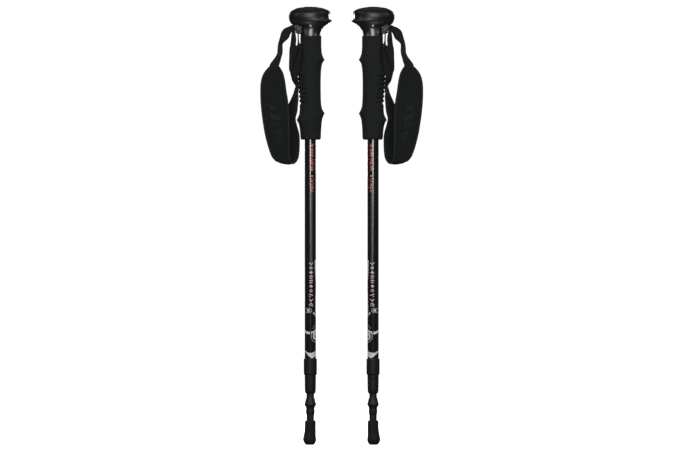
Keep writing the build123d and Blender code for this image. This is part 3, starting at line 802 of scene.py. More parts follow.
parts = []
for s in (-1, 1):       # oval cheeks: a flat back, a rolled rim and a domed face
    rows = [(8.15, 7.4, 4.1), (8.2, 8.0, 4.6), (8.6, 8.4, 4.95), (9.3, 8.5, 5.05), (9.9, 8.35, 4.9), (10.35, 7.9, 4.5), (10.55, 7.3, 3.95), (10.5, 6.7, 3.45),
            (10.55, 6.2, 3.0), (10.9, 5.3, 2.5), (11.15, 4.0, 1.85), (11.3, 2.4, 1.1), (11.34, 1.0, 0.5)]
    parts.append(loops_mesh([lug_oval(s * y, a, b) for y, a, b in rows], True, "fan", "fan"))
bridge = []
for y in (-8.4, -8.0, -4, 0, 4, 8.0, 8.4):
    bridge.append([(-17.2 + 3.7 * math.cos(TAU * k / 24), y, 667.2 + 2.4 * math.sin(TAU * k / 24)) for k in range(24)])
piece("strap_lug_shell", merge(*parts, loops_mesh(bridge, True, "fan", "fan")), "handle", LUG, ["strap_lug"], angle=45)
ends = [(-9.6, 0.6), (-9.5, 1.3), (-9.2, 1.6), (9.2, 1.6), (9.5, 1.3), (9.6, 0.6)]
bar = loops_mesh([[(-20.6 + r * math.cos(TAU * k / 40), y, 661.0 + r * math.sin(TAU * k / 40)) for k in range(40)] for y, r in ends], True, "fan", "fan")
piece("strap_bar_pin", bar, "handle", STEEL, ["strap_bar"])


# ------------------------------------------------------------------ the spring of the shock absorber
LOW, HIGH, COILS, WIRE, RAD = 603.1, 653.9, 9, 0.9, 6.5
for side in SIDES:
    loops, n = [], 12
    steps = int(COILS * 40)
    for k in range(steps + 1):
        a = TAU * COILS * k / steps
        rise = (HIGH - LOW - 2 * WIRE) * k / steps
        flat = min(1.0, k / 40.0, (steps - k) / 40.0)
        c = Vector((RAD * math.cos(a), RAD * math.sin(a), LOW + WIRE + rise))
        out = Vector((math.cos(a), math.sin(a), 0))
        w = WIRE * (0.55 + 0.45 * min(1.0, flat * 6))
        loops.append([world(side, tuple(c + out * (w * math.cos(TAU * j / n)) + Vector((0, 0, w * math.sin(TAU * j / n))))) for j in range(n)])
    v, f = loops_mesh(loops, True, "fan", "fan")
    me = bpy.data.meshes.new(f"{side}_shock_spring_coil")
    me.from_pydata([tuple(p) for p in v], [], [tuple(q) for q in f])
    finish_mesh(me, 60)
    ob = bpy.data.objects.new(f"{side}_shock_spring_coil", me)
    bpy.context.scene.collection.objects.link(ob)
    me.materials.append(STEEL)
    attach(ob, f"{side}_upper_section")
    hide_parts(f"{side}_shock_spring")
    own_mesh(ob)
    PIECES[f"{side}_shock_spring_coil"] = ob


# ------------------------------------------------------------------ strap
def band(rows, step, section, across):
    """rows: left edge u, y, z and right edge u, y, z. section: distance from the near edge and width to half thickness. Returns the mesh and a uv for each vertex."""
    rows = resample(rows, step)
    loops, uv = [], []
    s = 0.0
    mids = [Vector([(r[i] + r[i + 3]) / 2 for i in range(3)]) for r in rows]
    for i, r in enumerate(rows):
        L, R = Vector(r[:3]), Vector(r[3:6])
        w = (R - L).length
        wide = (R - L).normalized()
        along = (mids[min(i + 1, len(rows) - 1)] - mids[max(i - 1, 0)]).normalized()
        deep = wide.cross(along).normalized()
        bow = r[6] if len(r) > 6 else 0.0
        if i:
            s += (mids[i] - mids[i - 1]).length
        top, low = [], []
        for t in across:
            d = min(t, 1 - t) * w
            h = section(d, w)
            c = L.lerp(R, t) + deep * bow * (1 - (2 * t - 1) ** 2)
            top.append(tuple(c + deep * h))
            low.append(tuple(c - deep * h))
        loops.append(top + low[::-1])
        uv += [(t * w, s) for t in across] + [(t * w, s) for t in across[::-1]]
    n = len(loops[0])
    v, f = loops_mesh(loops, True)
    for i in (0, len(loops) - 1):
        for k in range(n // 2 - 1):
            f.append((i * n + k, i * n + k + 1, i * n + n - 2 - k, i * n + n - 1 - k))
    return (v, f), uv, rows, mids


def even(n, edge):
    """Places across a band, closer together near its edges."""
    out = [0.0] + [edge * k for k in (0.25, 0.5, 0.75, 1.0)]
    return out + [edge + (1 - 2 * edge) * k / n for k in range(1, n)] + [1 - x for x in out[::-1]]


def web_section(d, w):
    """Webbing 1.5 mm thick, with a slightly rounder selvedge."""
    e = min(1.0, d / 0.5)
    return 0.72 * math.sqrt(max(0.0, 1 - (1 - e) ** 2)) + 0.04 + 0.08 * math.exp(-(((d - 0.9) / 0.5) ** 2))


ACROSS_WEB = even(8, 0.05)
WEB_B = [
    (-20.4, 6.9, 664.3, -20.4, -6.9, 664.3), (-22.6, 6.6, 667.0, -22.6, -7.0, 663.4), (-25.0, 5.8, 670.5, -25.4, -7.6, 661.2), (-27.4, 4.6, 671.4, -28.0, -8.1, 661.2),
    (-30.2, 3.2, 671.0, -30.6, -8.3, 659.2), (-33.2, 1.8, 669.3, -32.8, -8.1, 655.4), (-36.4, 0.6, 668.4, -34.0, -7.8, 651.4), (-42.6, -2.0, 665.0, -37.0, -7.6, 647.6),
    (-46.4, -4.0, 659.8, -40.2, -7.4, 645.0), (-47.9, -4.8, 654.6, -43.0, -7.4, 642.4), (-49.3, -3.4, 648.6, -44.4, -8.4, 639.4), (-51.2, 0.4, 641.6, -44.6, -9.4, 636.4),
    (-52.1, 2.8, 634.4, -44.4, -9.5, 631.6), (-52.7, 2.2, 626.8, -44.8, -9.4, 625.6), (-55.8, -1.0, 620.2, -46.4, -9.6, 619.2), (-60.6, -5.6, 613.8, -47.6, -9.8, 613.4),
    (-64.6, -8.4, 608.0, -49.6, -9.6, 606.8), (-65.4, -9.3, 603.0, -50.4, -9.6, 602.0), (-65.0, -8.4, 597.6, -50.6, -8.6, 597.0), (-64.4, -7.0, 592.0, -50.2, -7.2, 591.4),
]
loop_b = []
for k in range(25):      # the turn round the bar
    a = math.radians(96 - 350 * k / 24)
    loop_b.append((-20.6 + 2.45 * math.cos(a), 7.0, 661.0 + 2.45 * math.sin(a), -20.6 + 2.45 * math.cos(a), -7.0, 661.0 + 2.45 * math.sin(a)))
WEB_A = [
    (-19.9, 6.9, 657.8, -19.3, -6.9, 657.6), (-19.5, 6.9, 652.0, -18.9, -7.2, 651.4), (-19.6, 6.8, 646.8, -18.7, -8.2, 646.2), (-19.9, 6.4, 642.0, -17.2, -10.0, 641.4),
    (-20.7, 5.4, 639.6, -15.2, -11.2, 638.8), (-24.4, 3.0, 636.6, -14.5, -11.6, 635.6), (-28.4, -0.2, 631.2, -14.3, -11.8, 630.4), (-30.2, -3.8, 624.6, -14.5, -11.6, 624.0), (-31.0, -6.0, 617.0, -15.0, -11.2, 616.4),
    (-32.4, -6.8, 609.0, -15.6, -10.8, 608.4), (-33.0, -6.8, 600.6, -16.8, -10.8, 600.2), (-32.2, -6.4, 594.4, -19.0, -11.0, 594.0), (-30.6, -5.2, 588.2, -19.8, -11.0, 588.0),
    (-28.6, -1.8, 582.0, -19.2, -10.2, 582.0), (-24.4, 2.4, 575.6, -18.6, -8.8, 575.8), (-22.4, 4.6, 569.8, -18.6, -7.4, 569.8), (-23.9, 5.4, 563.6, -19.8, -5.8, 563.6),
    (-26.6, 5.8, 557.0, -21.2, -4.4, 557.0),
]
WEB_T = [   # the strap's second layer, in front, cut off on a slant
    (-28.2, 4.2, 668.8, -25.6, -6.4, 668.0), (-28.8, 3.0, 664.6, -25.9, -7.8, 664.6), (-29.1, 1.0, 660.0, -24.4, -9.6, 660.0), (-30.0, -1.4, 655.0, -23.5, -11.0, 655.0),
    (-30.5, -3.6, 650.2, -22.7, -12.0, 650.2), (-31.1, -5.6, 645.0, -22.6, -12.6, 645.0), (-31.6, -7.4, 641.0, -23.0, -12.8, 641.0), (-32.0, -8.2, 638.4, -22.8, -13.0, 638.0),
    (-32.8, -8.6, 635.6, -20.2, -13.0, 635.4), (-33.6, -9.2, 629.0, -21.4, -12.7, 628.4), (-33.8, -9.4, 620.4, -24.0, -11.9, 620.2), (-34.1, -9.5, 609.6, -27.2, -11.2, 609.4), (-34.0, -9.4, 600.6, -29.8, -10.3, 600.4),
    (-33.4, -9.2, 596.8, -31.4, -9.7, 596.6),
]


def strap_piece(name, parts, node):
    """A run of webbing between the lug and the pad, made on both poles."""
    meshes, uvs = [], []
    for rows, k in parts:
        mesh, uv, _, _ = band(rows, 1.2, (lambda d, w, k=k: web_section(d, w) * k), ACROSS_WEB)
        meshes.append(mesh)
        uvs += uv
    verts, faces = merge(*meshes)
    for side in SIDES:
        me = bpy.data.meshes.new(f"{side}_{name}")
        me.from_pydata([world(side, v) for v in verts], [], [tuple(f) for f in faces])
        layer = me.uv_layers.new(name="cloth")
        for loop in me.loops:
            layer.data[loop.index].uv = (uvs[loop.vertex_index][0] / 10, uvs[loop.vertex_index][1] / 10)
        finish_mesh(me, 60)
        ob = bpy.data.objects.new(f"{side}_{name}", me)
        bpy.context.scene.collection.objects.link(ob)
        me.materials.append(WEBBING)
        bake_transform(ob)
        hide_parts(f"{side}_{node}")
        PIECES[f"{side}_{name}"] = ob


strap_piece("strap_webbing_outer_weave", [(WEB_B, 1.0), (loop_b, 0.9)], "strap_webbing_outer")
strap_piece("strap_webbing_inner_weave", [(WEB_A, 1.0), (WEB_T, 1.0)], "strap_webbing_inner")


def pad_section(d, w):
    """Foam band: a bound edge, a sewn channel inside it, and the crowned foam."""
    if w < 9:
        return 2.0 * math.sqrt(max(0.0, 1 - (1 - min(1, d / (w / 2))) ** 2)) + 0.05
    k = min(1.0, (w - 9) / 5)
    if d < 1.0:
        h = 1.25 * math.sqrt(max(0.0, 1 - (1 - d) ** 2)) + 0.05
    elif d < 2.6:
        h = 1.3 - 0.45 * (0.5 - 0.5 * math.cos(math.pi * min(1.0, (d - 1.0) / 1.1)))
    else:
        h = 0.85
    foam = 1.65 * (1 - math.exp(-max(0.0, d - 2.4) / 1.9))
    return h + foam * k + (1 - k) * min(1.0, d / 3) * 0.7


PAD = [
    (-61.6, -7.0, 607.6, -51.6, -7.0, 607.4), (-64.8, -7.0, 605.4, -49.4, -7.0, 604.8), (-69.5, -7.0, 601.0, -46.2, -7.0, 600.0), (-74.2, -7.0, 594.7, -43.3, -7.0, 594.2),
    (-77.1, -6.9, 588.3, -41.6, -6.8, 588.0), (-78.7, -6.8, 581.9, -40.4, -6.7, 581.9), (-79.6, -6.7, 575.0, -39.4, -6.6, 575.0), (-79.9, -6.6, 565.9, -38.2, -6.6, 565.9),
    (-79.5, -6.6, 549.9, -35.6, -6.6, 549.9), (-78.5, -6.6, 537.1, -34.2, -6.7, 537.1), (-77.0, -6.6, 524.3, -33.6, -6.8, 524.3), (-75.1, -6.6, 511.5, -33.2, -6.8, 511.5),
    (-73.0, -6.6, 498.7, -33.2, -6.8, 498.7), (-70.0, -6.6, 485.9, -33.2, -6.8, 485.9), (-66.4, -6.6, 473.1, -33.0, -6.8, 473.1), (-63.9, -6.6, 466.2, -32.8, -6.8, 465.6),
    (-61.4, -6.4, 460.4, -31.8, -6.8, 458.6), (-57.8, -5.4, 456.2, -30.2, -6.0, 453.2), (-54.4, -2.6, 454.2, -28.0, -3.2, 450.7), (-52.6, 1.6, 454.6, -25.4, 0.2, 450.4),
    (-51.6, 5.0, 458.4, -22.0, 2.4, 453.2), (-51.4, 6.9, 464.6, -19.1, 3.2, 459.0), (-52.0, 7.3, 473.1, -17.7, 3.3, 468.0), (-52.4, 7.5, 485.9, -17.0, 3.3, 482.0),
    (-51.4, 7.7, 498.7, -17.5, 3.2, 496.0), (-48.2, 7.8, 514.6, -21.9, 2.4, 512.6), (-44.9, 7.8, 524.3, -23.6, 1.8, 521.4), (-39.6, 7.8, 535.5, -20.9, 0.6, 534.0),
    (-35.4, 7.6, 543.5, -20.2, -0.8, 542.6), (-32.4, 7.4, 549.9, -19.8, -2.2, 549.2), (-29.3, 6.9, 556.3, -19.6, -3.8, 556.0), (-26.4, 6.3, 562.7, -20.4, -5.4, 562.7),
    (-24.5, 5.1, 568.4, -21.0, -6.4, 568.6), (-23.7, 3.7, 572.0, -22.0, -5.6, 572.4),
]
EDGE = [0.0, 0.005, 0.011, 0.019, 0.028, 0.038, 0.048, 0.058, 0.070, 0.084, 0.102, 0.130]
ACROSS_PAD = EDGE + [0.13 + 0.74 * k / 16 for k in range(1, 16)] + [1 - x for x in EDGE[::-1]]
BOWS = [0.0, -0.6] + [-1.5] * 14 + [-1.2] * 4 + [-0.8] * 14
BAND = [(*r, b) for r, b in zip(PAD, BOWS)]
mesh, uv, PAD_ROWS, PAD_MIDS = band(BAND, 1.5, pad_section, ACROSS_PAD)
piece("strap_pad_band", mesh, "wrist_strap", KNIT, ["strap_pad_outer", "strap_pad_inner"], uv=uv, angle=70)
RUN = [0.0]
for a, b in zip(PAD_MIDS, PAD_MIDS[1:]):
    RUN.append(RUN[-1] + (b - a).length)


def on_pad(d, s, lift, face=-1, from_right=False):
    """A point on the band: d in from its edge, s along it, lift above its face (-1 is the face that shows in front)."""
    i = max(0, min(len(RUN) - 2, next((k for k in range(len(RUN) - 1) if RUN[k + 1] >= s), len(RUN) - 2)))
    f = max(0.0, min(1.0, (s - RUN[i]) / (RUN[i + 1] - RUN[i])))
    r = [a * (1 - f) + b * f for a, b in zip(PAD_ROWS[i], PAD_ROWS[i + 1])]
    L, R = Vector(r[:3]), Vector(r[3:6])
    w = (R - L).length
    along = (PAD_MIDS[i + 1] - PAD_MIDS[i]).normalized()
    deep = (R - L).normalized().cross(along).normalized()
    t = 1 - d / w if from_right else d / w
    e = min(t, 1 - t) * w
    return L.lerp(R, t) + deep * (r[6] * (1 - (2 * t - 1) ** 2) + face * (pad_section(e, w) + lift)), w


def stitch(p, q, up, r=0.28, n=6):
    """One stitch: a little rod from p to q that dips into the fabric at its ends."""
    d = (q - p)
    x = d.normalized()
    y = up.cross(x).normalized()
    z = x.cross(y)
    loops = []
    for t, k, h in ((0.0, 0.35, -0.30), (0.08, 0.8, -0.12), (0.25, 1.0, 0.06), (0.5, 1.0, 0.12), (0.75, 1.0, 0.06), (0.92, 0.8, -0.12), (1.0, 0.35, -0.30)):
        c = p + d * t + z * h
        loops.append([tuple(c + (y * math.cos(TAU * j / n) + z * math.sin(TAU * j / n) * 0.8) * r * k) for j in range(n)])
    return loops_mesh(loops, True, "fan", "fan")


rows_of = []
for from_right in (False, True):
    for face in (-1, 1):
        s0 = 9.0
        while s0 < RUN[-1] - 16:
            p, w0 = on_pad(2.15, s0, 0.10, face, from_right)
            q, _ = on_pad(2.15, s0 + 2.3, 0.10, face, from_right)
            up, _ = on_pad(2.15, s0 + 1.15, 1.10, face, from_right)
            mid, _ = on_pad(2.15, s0 + 1.15, 0.10, face, from_right)
            if w0 > 13:
                rows_of.append(stitch(p, q, (up - mid).normalized()))
            s0 += 3.3
def piping(from_right, n=20):
    """The fabric tape that is folded round one edge of the band."""
    loops = []
    s0 = 2.0
    while s0 < RUN[-1] - 2.0:
        c, w0 = on_pad(1.05, s0, 0, -1, from_right)
        lift = -pad_section(min(1.05, w0 - 1.05), w0)
        c, _ = on_pad(1.05, s0, lift, -1, from_right)
        q, _ = on_pad(1.25, s0, lift, -1, from_right)
        up, _ = on_pad(1.05, s0, lift + 1, -1, from_right)
        x, z = (q - c).normalized(), (up - c).normalized()
        loops.append([tuple(c + x * 1.3 * math.cos(TAU * j / n) + z * 1.55 * math.sin(TAU * j / n)) for j in range(n)])
        s0 += 1.6
    return loops_mesh(loops, True, "fan", "fan")


piece("strap_pad_binding", merge(piping(False), piping(True)), "wrist_strap", BINDING, angle=60)
piece("strap_pad_stitching", merge(*rows_of), "wrist_strap", THREAD, angle=60)


def pressed(cells, lift0=-0.35, lift1=0.16):
    """Raised marks on the band's front: each cell is a four-cornered outline in (across, along) measured from the left edge."""
    out = []
    for cell in cells:
        cu, cs = sum(c[0] for c in cell) / 4, sum(c[1] for c in cell) / 4
        top, low, mid = [], [], []
        n = 4
        pts = []
        for a, b in zip(cell, cell[1:] + cell[:1]):
            pts += [(a[0] + (b[0] - a[0]) * k / n, a[1] + (b[1] - a[1]) * k / n) for k in range(n)]
        loops = []
        for k, lift in ((1.0, lift0), (1.0, lift1 - 0.08), (0.93, lift1), (0.55, lift1 + 0.01)):
            loops.append([tuple(on_pad(cu + (u - cu) * k, cs + (v - cs) * k, lift)[0]) for u, v in pts])
        out.append(loops_mesh(loops, True, "fan", "fan"))
    return merge(*out)


marks = []
for i, (u, wd, v, hh, lean) in enumerate([
    (13.2, 1.6, 64.0, 7.0, 0.8), (16.2, 1.6, 66.0, 7.0, 0.8), (19.2, 1.6, 64.5, 7.0, 0.8), (22.2, 1.6, 67.0, 6.0, 0.8),
    (14.0, 2.2, 78.0, 9.0, 1.2), (18.0, 2.2, 79.0, 9.0, 1.2), (22.0, 2.2, 80.5, 8.0, 1.2), (25.4, 1.6, 83.0, 6.0, 1.2),
    (16.4, 2.6, 93.5, 4.2, -2.0), (21.4, 2.6, 92.6, 4.2, 2.0), (17.0, 1.6, 106.0, 6.0, 0.4), (20.4, 1.6, 107.0, 6.0, 0.4), (23.8, 1.6, 108.0, 6.0, 0.4),
    (17.6, 6.4, 116.5, 1.5, 0.3), (18.2, 6.0, 120.0, 1.5, 0.3),
]):
    marks.append([(u, v), (u + wd, v + 0.1), (u + wd + lean, v + hh), (u + lean, v + hh)])
piece("strap_pad_marks", pressed(marks), "wrist_strap", MARK, angle=40)

# ------------------------------------------------------------------ printed marks on the upper tube
INK_IN, INK_OUT = 8.985, 9.045


def arc(s, z, r):
    """A point on the tube: s is the distance round it from the side that faces -y, towards the front."""
    a = s / 9.0
    return (r * math.sin(a), -r * math.cos(a), z)


def printed(strips):
    """Closed shells a few hundredths thick. Each strip is a pair of lines of (s, z) with the same number of points; closed ones come round to their start."""
    out = []
    for A, B, closed in strips:
        if not closed:      # short spans, so that each follows the tube
            A2, B2 = [A[0]], [B[0]]
            for i in range(len(A) - 1):
                n = max(1, int(math.ceil(max(abs(A[i + 1][0] - A[i][0]), abs(B[i + 1][0] - B[i][0])) / 0.7)))
                for k in range(1, n + 1):
                    A2.append(tuple(A[i][c] + (A[i + 1][c] - A[i][c]) * k / n for c in (0, 1)))
                    B2.append(tuple(B[i][c] + (B[i + 1][c] - B[i][c]) * k / n for c in (0, 1)))
            A, B = A2, B2
        m = max(1, int(math.ceil(max(abs(a[0] - b[0]) for a, b in zip(A, B)) / 0.7)))
        rows = []
        for k in range(m + 1):
            rows.append([arc(a[0] + (b[0] - a[0]) * k / m, a[1] + (b[1] - a[1]) * k / m, INK_OUT) for a, b in zip(A, B)])
        for k in range(m, -1, -1):
            rows.append([arc(a[0] + (b[0] - a[0]) * k / m, a[1] + (b[1] - a[1]) * k / m, INK_IN) for a, b in zip(A, B)])
        v, f = loops_mesh(rows, closed, wrap=True)
        if not closed:
            n = len(A)
            for e in (0, n - 1):
                for k in range(m):
                    f.append((k * n + e, (k + 1) * n + e, (2 * m - k) * n + e, (2 * m + 1 - k) * n + e))
        out.append((v, f))
    return merge(*out)


def quad(a, b, c, d):
    """Corners in order: the strip runs between the lines a-b and d-c."""
    return ([a, b], [d, c], False)


def box(s0, s1, z0, z1, lean=0.0):
    return quad((s0, z0), (s1, z0 + lean), (s1, z1 + lean), (s0, z1))


def ring_of(cs, cz, a, b, t, n=40, lo=0.0, hi=TAU):
    closed = hi - lo > TAU - 1e-6
    k = n if closed else n + 1
    P = [(cs + a * math.cos(lo + (hi - lo) * i / n), cz + b * math.sin(lo + (hi - lo) * i / n)) for i in range(k)]
    Q = [(cs + (a - t) * math.cos(lo + (hi - lo) * i / n), cz + (b - t) * math.sin(lo + (hi - lo) * i / n)) for i in range(k)]
    return (P, Q, closed)


def disc(cs, cz, a, b):
    n = 9
    P = [(cs + a * math.cos(math.pi - math.pi * i / n), cz + b * math.sin(math.pi - math.pi * i / n)) for i in range(n + 1)]
    return (P, [(p[0], 2 * cz - p[1]) for p in P], False)


def chevron(s0, s1, z, rise, t):
    m = (s0 + s1) / 2
    return ([(s0, z), (m, z + rise), (s1, z)], [(s0, z - t), (m, z + rise - t), (s1, z - t)], False)


def diamond(cs, cz, a, b):
    return ([(cs - a, cz), (cs, cz + b), (cs + a, cz)], [(cs - a, cz - 0.02), (cs, cz - b), (cs + a, cz - 0.02)], False)


red, salmon, rose, white, grey, print_and_reflection = [], [], [], [], [], []
z = 482.2
for k, kind in enumerate("bardcbad gcabd"):     # a column of bars, arrows and lozenges
    a, b = 1.1, 6.3
    if kind == "b":
        red.append(quad((a, z), (b, z - 1.4), (b, z - 3.2), (a, z - 1.8)))
        salmon.append(quad((a + 0.2, z - 2.6), (b - 1.4, z - 3.6), (b - 1.4, z - 5.3), (a + 0.2, z - 4.3)))
    elif kind == "a":
        red.append(chevron(a, b, z - 2.4, 2.0, 1.7))
        salmon.append(chevron(a, b - 1.6, z - 5.0, 1.4, 1.3))
    elif kind == "r":
        red.append(box(a, b, z - 2.3, z - 0.5))
        salmon.append(diamond(a + 1.6, z - 4.1, 1.6, 1.6))
        red.append(diamond(b - 1.5, z - 4.2, 1.3, 1.3))
    elif kind == "d":
        red.append(diamond(b - 1.9, z - 2.8, 1.7, 2.7))
        salmon.append(diamond(a + 1.3, z - 2.8, 1.4, 2.5))
    elif kind == "c":
        red.append(quad((a, z - 0.5), (b, z - 2.2), (b, z - 4.2), (a, z - 2.5)))
        salmon.append(box(a, b - 2.6, z - 5.4, z - 3.9))
    elif kind == "g":
        red.append(chevron(a, b, z - 4.8, -1.8, 1.8))
        salmon.append(box(a + 0.6, b - 1.2, z - 2.7, z - 0.9))
    z -= 5.62
z = 293.4
for k, kind in enumerate("vdobbodtvx"):
    a, b, c = -1.9, 4.6, 1.35
    if kind == "v":
        rose.append(chevron(a, b, z - 1.4, -2.6, 1.7))
        rose.append(box(c - 1.1, c + 1.1, z - 5.9, z - 4.9))
    elif kind == "d":
        rose.append(([(a, z - 3.1), (c, z - 0.4), (b, z - 3.1)], [(a + 1.9, z - 3.1), (c, z - 1.9), (b - 1.9, z - 3.1)], False))
        rose.append(([(a, z - 3.1), (c, z - 5.8), (b, z - 3.1)], [(a + 1.9, z - 3.1), (c, z - 4.3), (b - 1.9, z - 3.1)], False))
    elif kind == "o":
        rose.append(diamond(c, z - 3.2, 3.1, 2.7))
    elif kind == "b":
        rose.append(box(a + 0.3, b - 0.3, z - 2.5, z - 0.8))
        rose.append(box(a + 0.9, b - 0.9, z - 5.6, z - 4.1))
    elif kind == "t":
        rose.append(quad((a, z - 0.6), (b, z - 2.4), (b, z - 4.1), (a, z - 2.3)))
        rose.append(box(a, a + 2.2, z - 5.9, z - 4.6))
    elif kind == "x":
        rose.append(chevron(a, b, z - 2.9, 2.3, 1.8))
        rose.append(chevron(a, b, z - 6.0, 2.3, 1.2))
    z -= 7.3

edge = [(295.2, 8.3), (291.0, 8.4), (285.0, 8.6), (279.0, 9.0), (272.0, 9.6), (266.0, 10.8), (260.6, 12.6), (257.0, 13.0), (250.0, 13.2), (245.0, 12.8), (241.0, 10.6),
        (238.0, 11.2), (235.0, 10.0), (231.6, 10.9), (228.0, 9.9), (224.4, 10.6), (220.0, 9.9), (216.0, 10.3), (211.0, 9.8), (206.4, 10.6), (202.8, 12.6), (199.4, 13.4)]
white.append(([(s, q) for q, s in edge], [(19.2 - 1.2 * math.sin((q - 199) / 12), q) for q, s in edge], False))
white.append(ring_of(10.1, 173.4, 5.8, 5.8, 2.9))
smile = [(-11.0, 184.0), (-8.6, 183.2), (-7.0, 182.3), (-4.6, 181.5), (-2.2, 181.0), (-0.4, 180.8)]
white.append((smile, [(a, b - 4.0) for a, b in smile], False))
smile = [(1.3, 180.9), (4.0, 181.5), (6.6, 182.6), (9.4, 184.2), (12.4, 186.2)]
white.append((smile, [(a, b - 3.9 + 0.02 * a) for a, b in smile], False))
white.append(([(-12.4, 150.6), (-9.0, 150.1), (-6.6, 149.0), (-3.6, 147.6), (-0.6, 147.1), (2.6, 147.4), (6.0, 148.4), (10.2, 150.2), (13.6, 151.2)],
              [(-12.2, 149.2), (-8.8, 147.8), (-6.0, 145.6), (-3.4, 143.0), (-0.8, 140.6), (1.8, 138.8), (4.8, 138.9), (9.4, 141.4), (13.6, 144.2)], False))
white.append(disc(6.0, 210.4, 1.5, 1.6))
white.append(quad((6.6, 209.4), (12.6, 205.4), (12.6, 204.4), (6.2, 208.2)))
white.append(box(-5.2, -0.9, 213.2, 216.4))
grey.append(([(-8.6, 218.6), (0.0, 218.6), (2.2, 217.4), (3.4, 214.8), (2.2, 212.2), (0.0, 211.0), (-8.6, 211.0)],
             [(-8.6, 217.0), (-0.3, 217.0), (1.1, 216.3), (1.8, 214.8), (1.1, 213.3), (-0.3, 212.6), (-8.6, 212.6)], False))
grey.append(ring_of(10.1, 173.4, 9.2, 9.8, 1.3, 30, math.pi * 0.72, math.pi * 1.6))
grey.append(ring_of(10.1, 173.4, 1.7, 2.2, 0.9, 20))
grey.append(ring_of(12.6, 184.0, 8.4, 8.6, 1.1, 16, math.pi * 0.62, math.pi * 0.93))
for k in range(3):
    grey.append(quad((3.2 + 2.0 * k, 143.4 + 1.0 * k), (4.2 + 2.0 * k, 143.9 + 1.0 * k), (5.4 + 2.0 * k, 146.6 + 0.8 * k), (4.4 + 2.0 * k, 146.1 + 0.8 * k)))
# a dim band just beside the bright line down the tube: partly grey print, partly a painted reflection of a light to the
# front side
print_and_reflection.append(([(0.4, 404.0), (0.4, 330.0), (0.2, 262.0)], [(3.9, 404.0), (3.9, 330.0), (3.7, 262.0)], False))
INK_OUT = 9.05
piece("print_column_red", printed(red), "upper_section", RED, angle=30)
piece("print_column_salmon", printed(salmon), "upper_section", SALMON, angle=30)
piece("print_column_rose", printed(rose), "upper_section", ROSE, angle=30)
piece("print_bands_white", printed(white), "upper_section", WHITE, angle=30)
INK_OUT = 9.07
piece("print_details_grey", printed(grey), "upper_section", GREY, angle=30)
INK_OUT = 9.03
piece("print_stripe_and_reflection", printed(print_and_reflection), "upper_section", PRINT_AND_REFLECTION, angle=30)

# length marks on the two tubes that slide out
for name, body, r, top, low in (("middle_tube_marks", "middle_section", 7.5, 436.0, 120.0), ("lower_tube_marks", "lower_section", 6.0, 410.0, 94.0)):
    ticks = []
    z = low
    k = 0
    while z <= top:
        span = 0.9 if k % 5 == 0 else 0.5
        loops = []
        for rr, zz in ((r - 0.02, z - 0.2), (r + 0.03, z - 0.2), (r + 0.03, z + 0.2), (r - 0.02, z + 0.2)):
            loops.append([(rr * math.sin(a), -rr * math.cos(a), zz) for a in [-span + 2 * span * j / 14 for j in range(15)]])
        v, f = loops_mesh(loops, False, wrap=True)
        n = 15
        f += [(0, n, 2 * n, 3 * n), (n - 1, 2 * n - 1, 3 * n - 1, 4 * n - 1)]
        ticks.append((v, f))
        z += 10.0
        k += 1
    stop = [(r - 0.02, top + 9.0), (r + 0.035, top + 9.0), (r + 0.035, top + 11.5), (r - 0.02, top + 11.5)]
    ticks.append(lathe(stop, 96, wrap=True))
    piece(name, merge(*ticks), body, GREY, angle=30)


# ------------------------------------------------------------------ stage, lights and camera
def emitter(name, colour, strength):
    m = bpy.data.materials.new(name)
    m.use_nodes = True
    t = m.node_tree
    t.nodes.clear()
    out = t.nodes.new("ShaderNodeOutputMaterial")
    e = t.nodes.new("ShaderNodeEmission")
    e.inputs[0].default_value = (*colour, 1)
    e.inputs[1].default_value = strength
    t.links.new(e.outputs[0], out.inputs[0])
    return m


def stage_object(name, mesh, mat):
    me = bpy.data.meshes.new(name)
    me.from_pydata(*[mesh[0], [], mesh[1]])
    me.update()
    ob = bpy.data.objects.new(name, me)
    bpy.context.scene.collection.objects.link(ob)
    me.materials.append(mat)
    return ob


R = 40.0
dome_loops = [[(R * math.cos(t) * math.cos(TAU * k / 48), R * math.cos(t) * math.sin(TAU * k / 48), R * math.sin(t)) for k in range(48)] for t in [math.radians(-88 + 176 * i / 24) for i in range(25)]]
dome = stage_object("backdrop", loops_mesh(dome_loops, True, "fan", "fan"), emitter("backdrop_white", (1, 1, 1), 1.03))
dome.visible_diffuse = dome.visible_glossy = dome.visible_volume_scatter = dome.visible_shadow = False
dome.visible_transmission = True

floor_mat = bpy.data.materials.new("floor_white")
floor_mat.use_nodes = True
fb = next(n for n in floor_mat.node_tree.nodes if n.type == "BSDF_PRINCIPLED")
fb.inputs["Base Color"].default_value = (0.9, 0.9, 0.9, 1)
fb.inputs["Roughness"].default_value = 0.9
fb.inputs["Specular IOR Level"].default_value = 0.0
fb.inputs["Emission Color"].default_value = (1, 1, 1, 1)
fb.inputs["Emission Strength"].default_value = 1.0
floor = stage_object("floor", loops_mesh([[(r * math.cos(TAU * k / 64), r * math.sin(TAU * k / 64), -0.0002) for k in range(64)] for r in (0.5, 8.0, 39.0)], True, "fan"), floor_mat)
floor.visible_diffuse = floor.visible_glossy = False

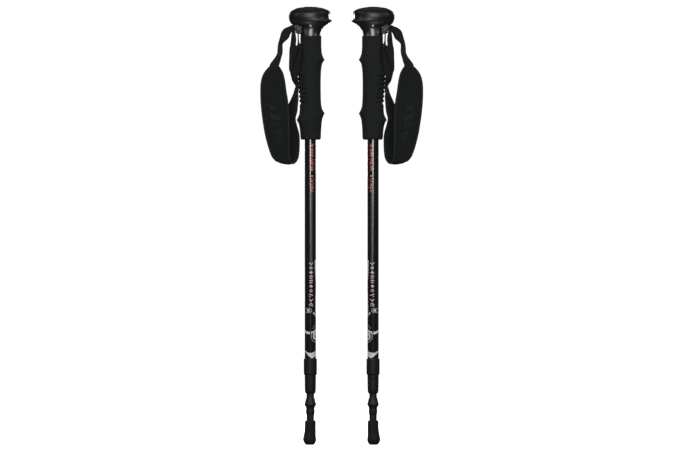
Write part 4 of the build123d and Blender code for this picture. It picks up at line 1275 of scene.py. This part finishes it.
w = bpy.data.worlds.new("studio")
bpy.context.scene.world = w
w.use_nodes = True
w.node_tree.nodes["Background"].inputs[0].default_value = (1, 1, 1, 1)
w.node_tree.nodes["Background"].inputs[1].default_value = 0.13


def area(name, where, aim, size, radiance, colour=(1, 1, 1)):
    """A soft box of size (across, up) in metres with the given brightness."""
    l = bpy.data.lights.new(name, "AREA")
    l.shape, l.size, l.size_y = "RECTANGLE", size[0], size[1]
    l.energy = radiance * math.pi * size[0] * size[1]
    l.color = colour
    ob = bpy.data.objects.new(name, l)
    bpy.context.scene.collection.objects.link(ob)
    ob.location = where
    ob.rotation_mode = "QUATERNION"
    ob.rotation_quaternion = (Vector(aim) - Vector(where)).to_track_quat("-Z", "Y")
    ob.visible_camera = False
    return ob


for name, y, w, k in (("front_strip", -1.5, 0.44, 27), ("back_strip", 1.5, 0.34, 17)):
    strip = area(name, (0, y, 0.71), (0, 0, 0.71), (w, 0.54), k)
    strip.visible_diffuse = False        # they draw the bright line on the tubes and the head
area("front_fill", (0, -2.2, 1.1), (0, 0, 0.40), (2.0, 0.9), 2.4)
area("back_fill", (0, 2.2, 1.1), (0, 0, 0.40), (2.0, 0.9), 2.4)
for k in (-1, 1):
    area("side_front", (k * 1.0, -1.0, 1.0), (0, 0, 0.45), (0.5, 0.5), 7.0)
    area("side_back", (k * 1.0, 1.0, 1.0), (0, 0, 0.45), (0.5, 0.5), 6.0)
area("top", (0, 0, 2.2), (0, 0, 0), (1.4, 1.4), 1.2)

cam = bpy.data.cameras.new("camera")
cam.type = "PERSP"
cam.sensor_width = 36.0
cam.lens = 300.0
D = 0.5448 * 300.0 / 18.0
cam.clip_start, cam.clip_end = 0.5, 200.0
cam_ob = bpy.data.objects.new("camera", cam)
bpy.context.scene.collection.objects.link(cam_ob)
cam_ob.location = (-0.0019, -D, 0.3515)
cam_ob.rotation_euler = (math.radians(90), 0, 0)
bpy.context.scene.camera = cam_ob
bpy.context.scene.view_settings.view_transform = "Standard"
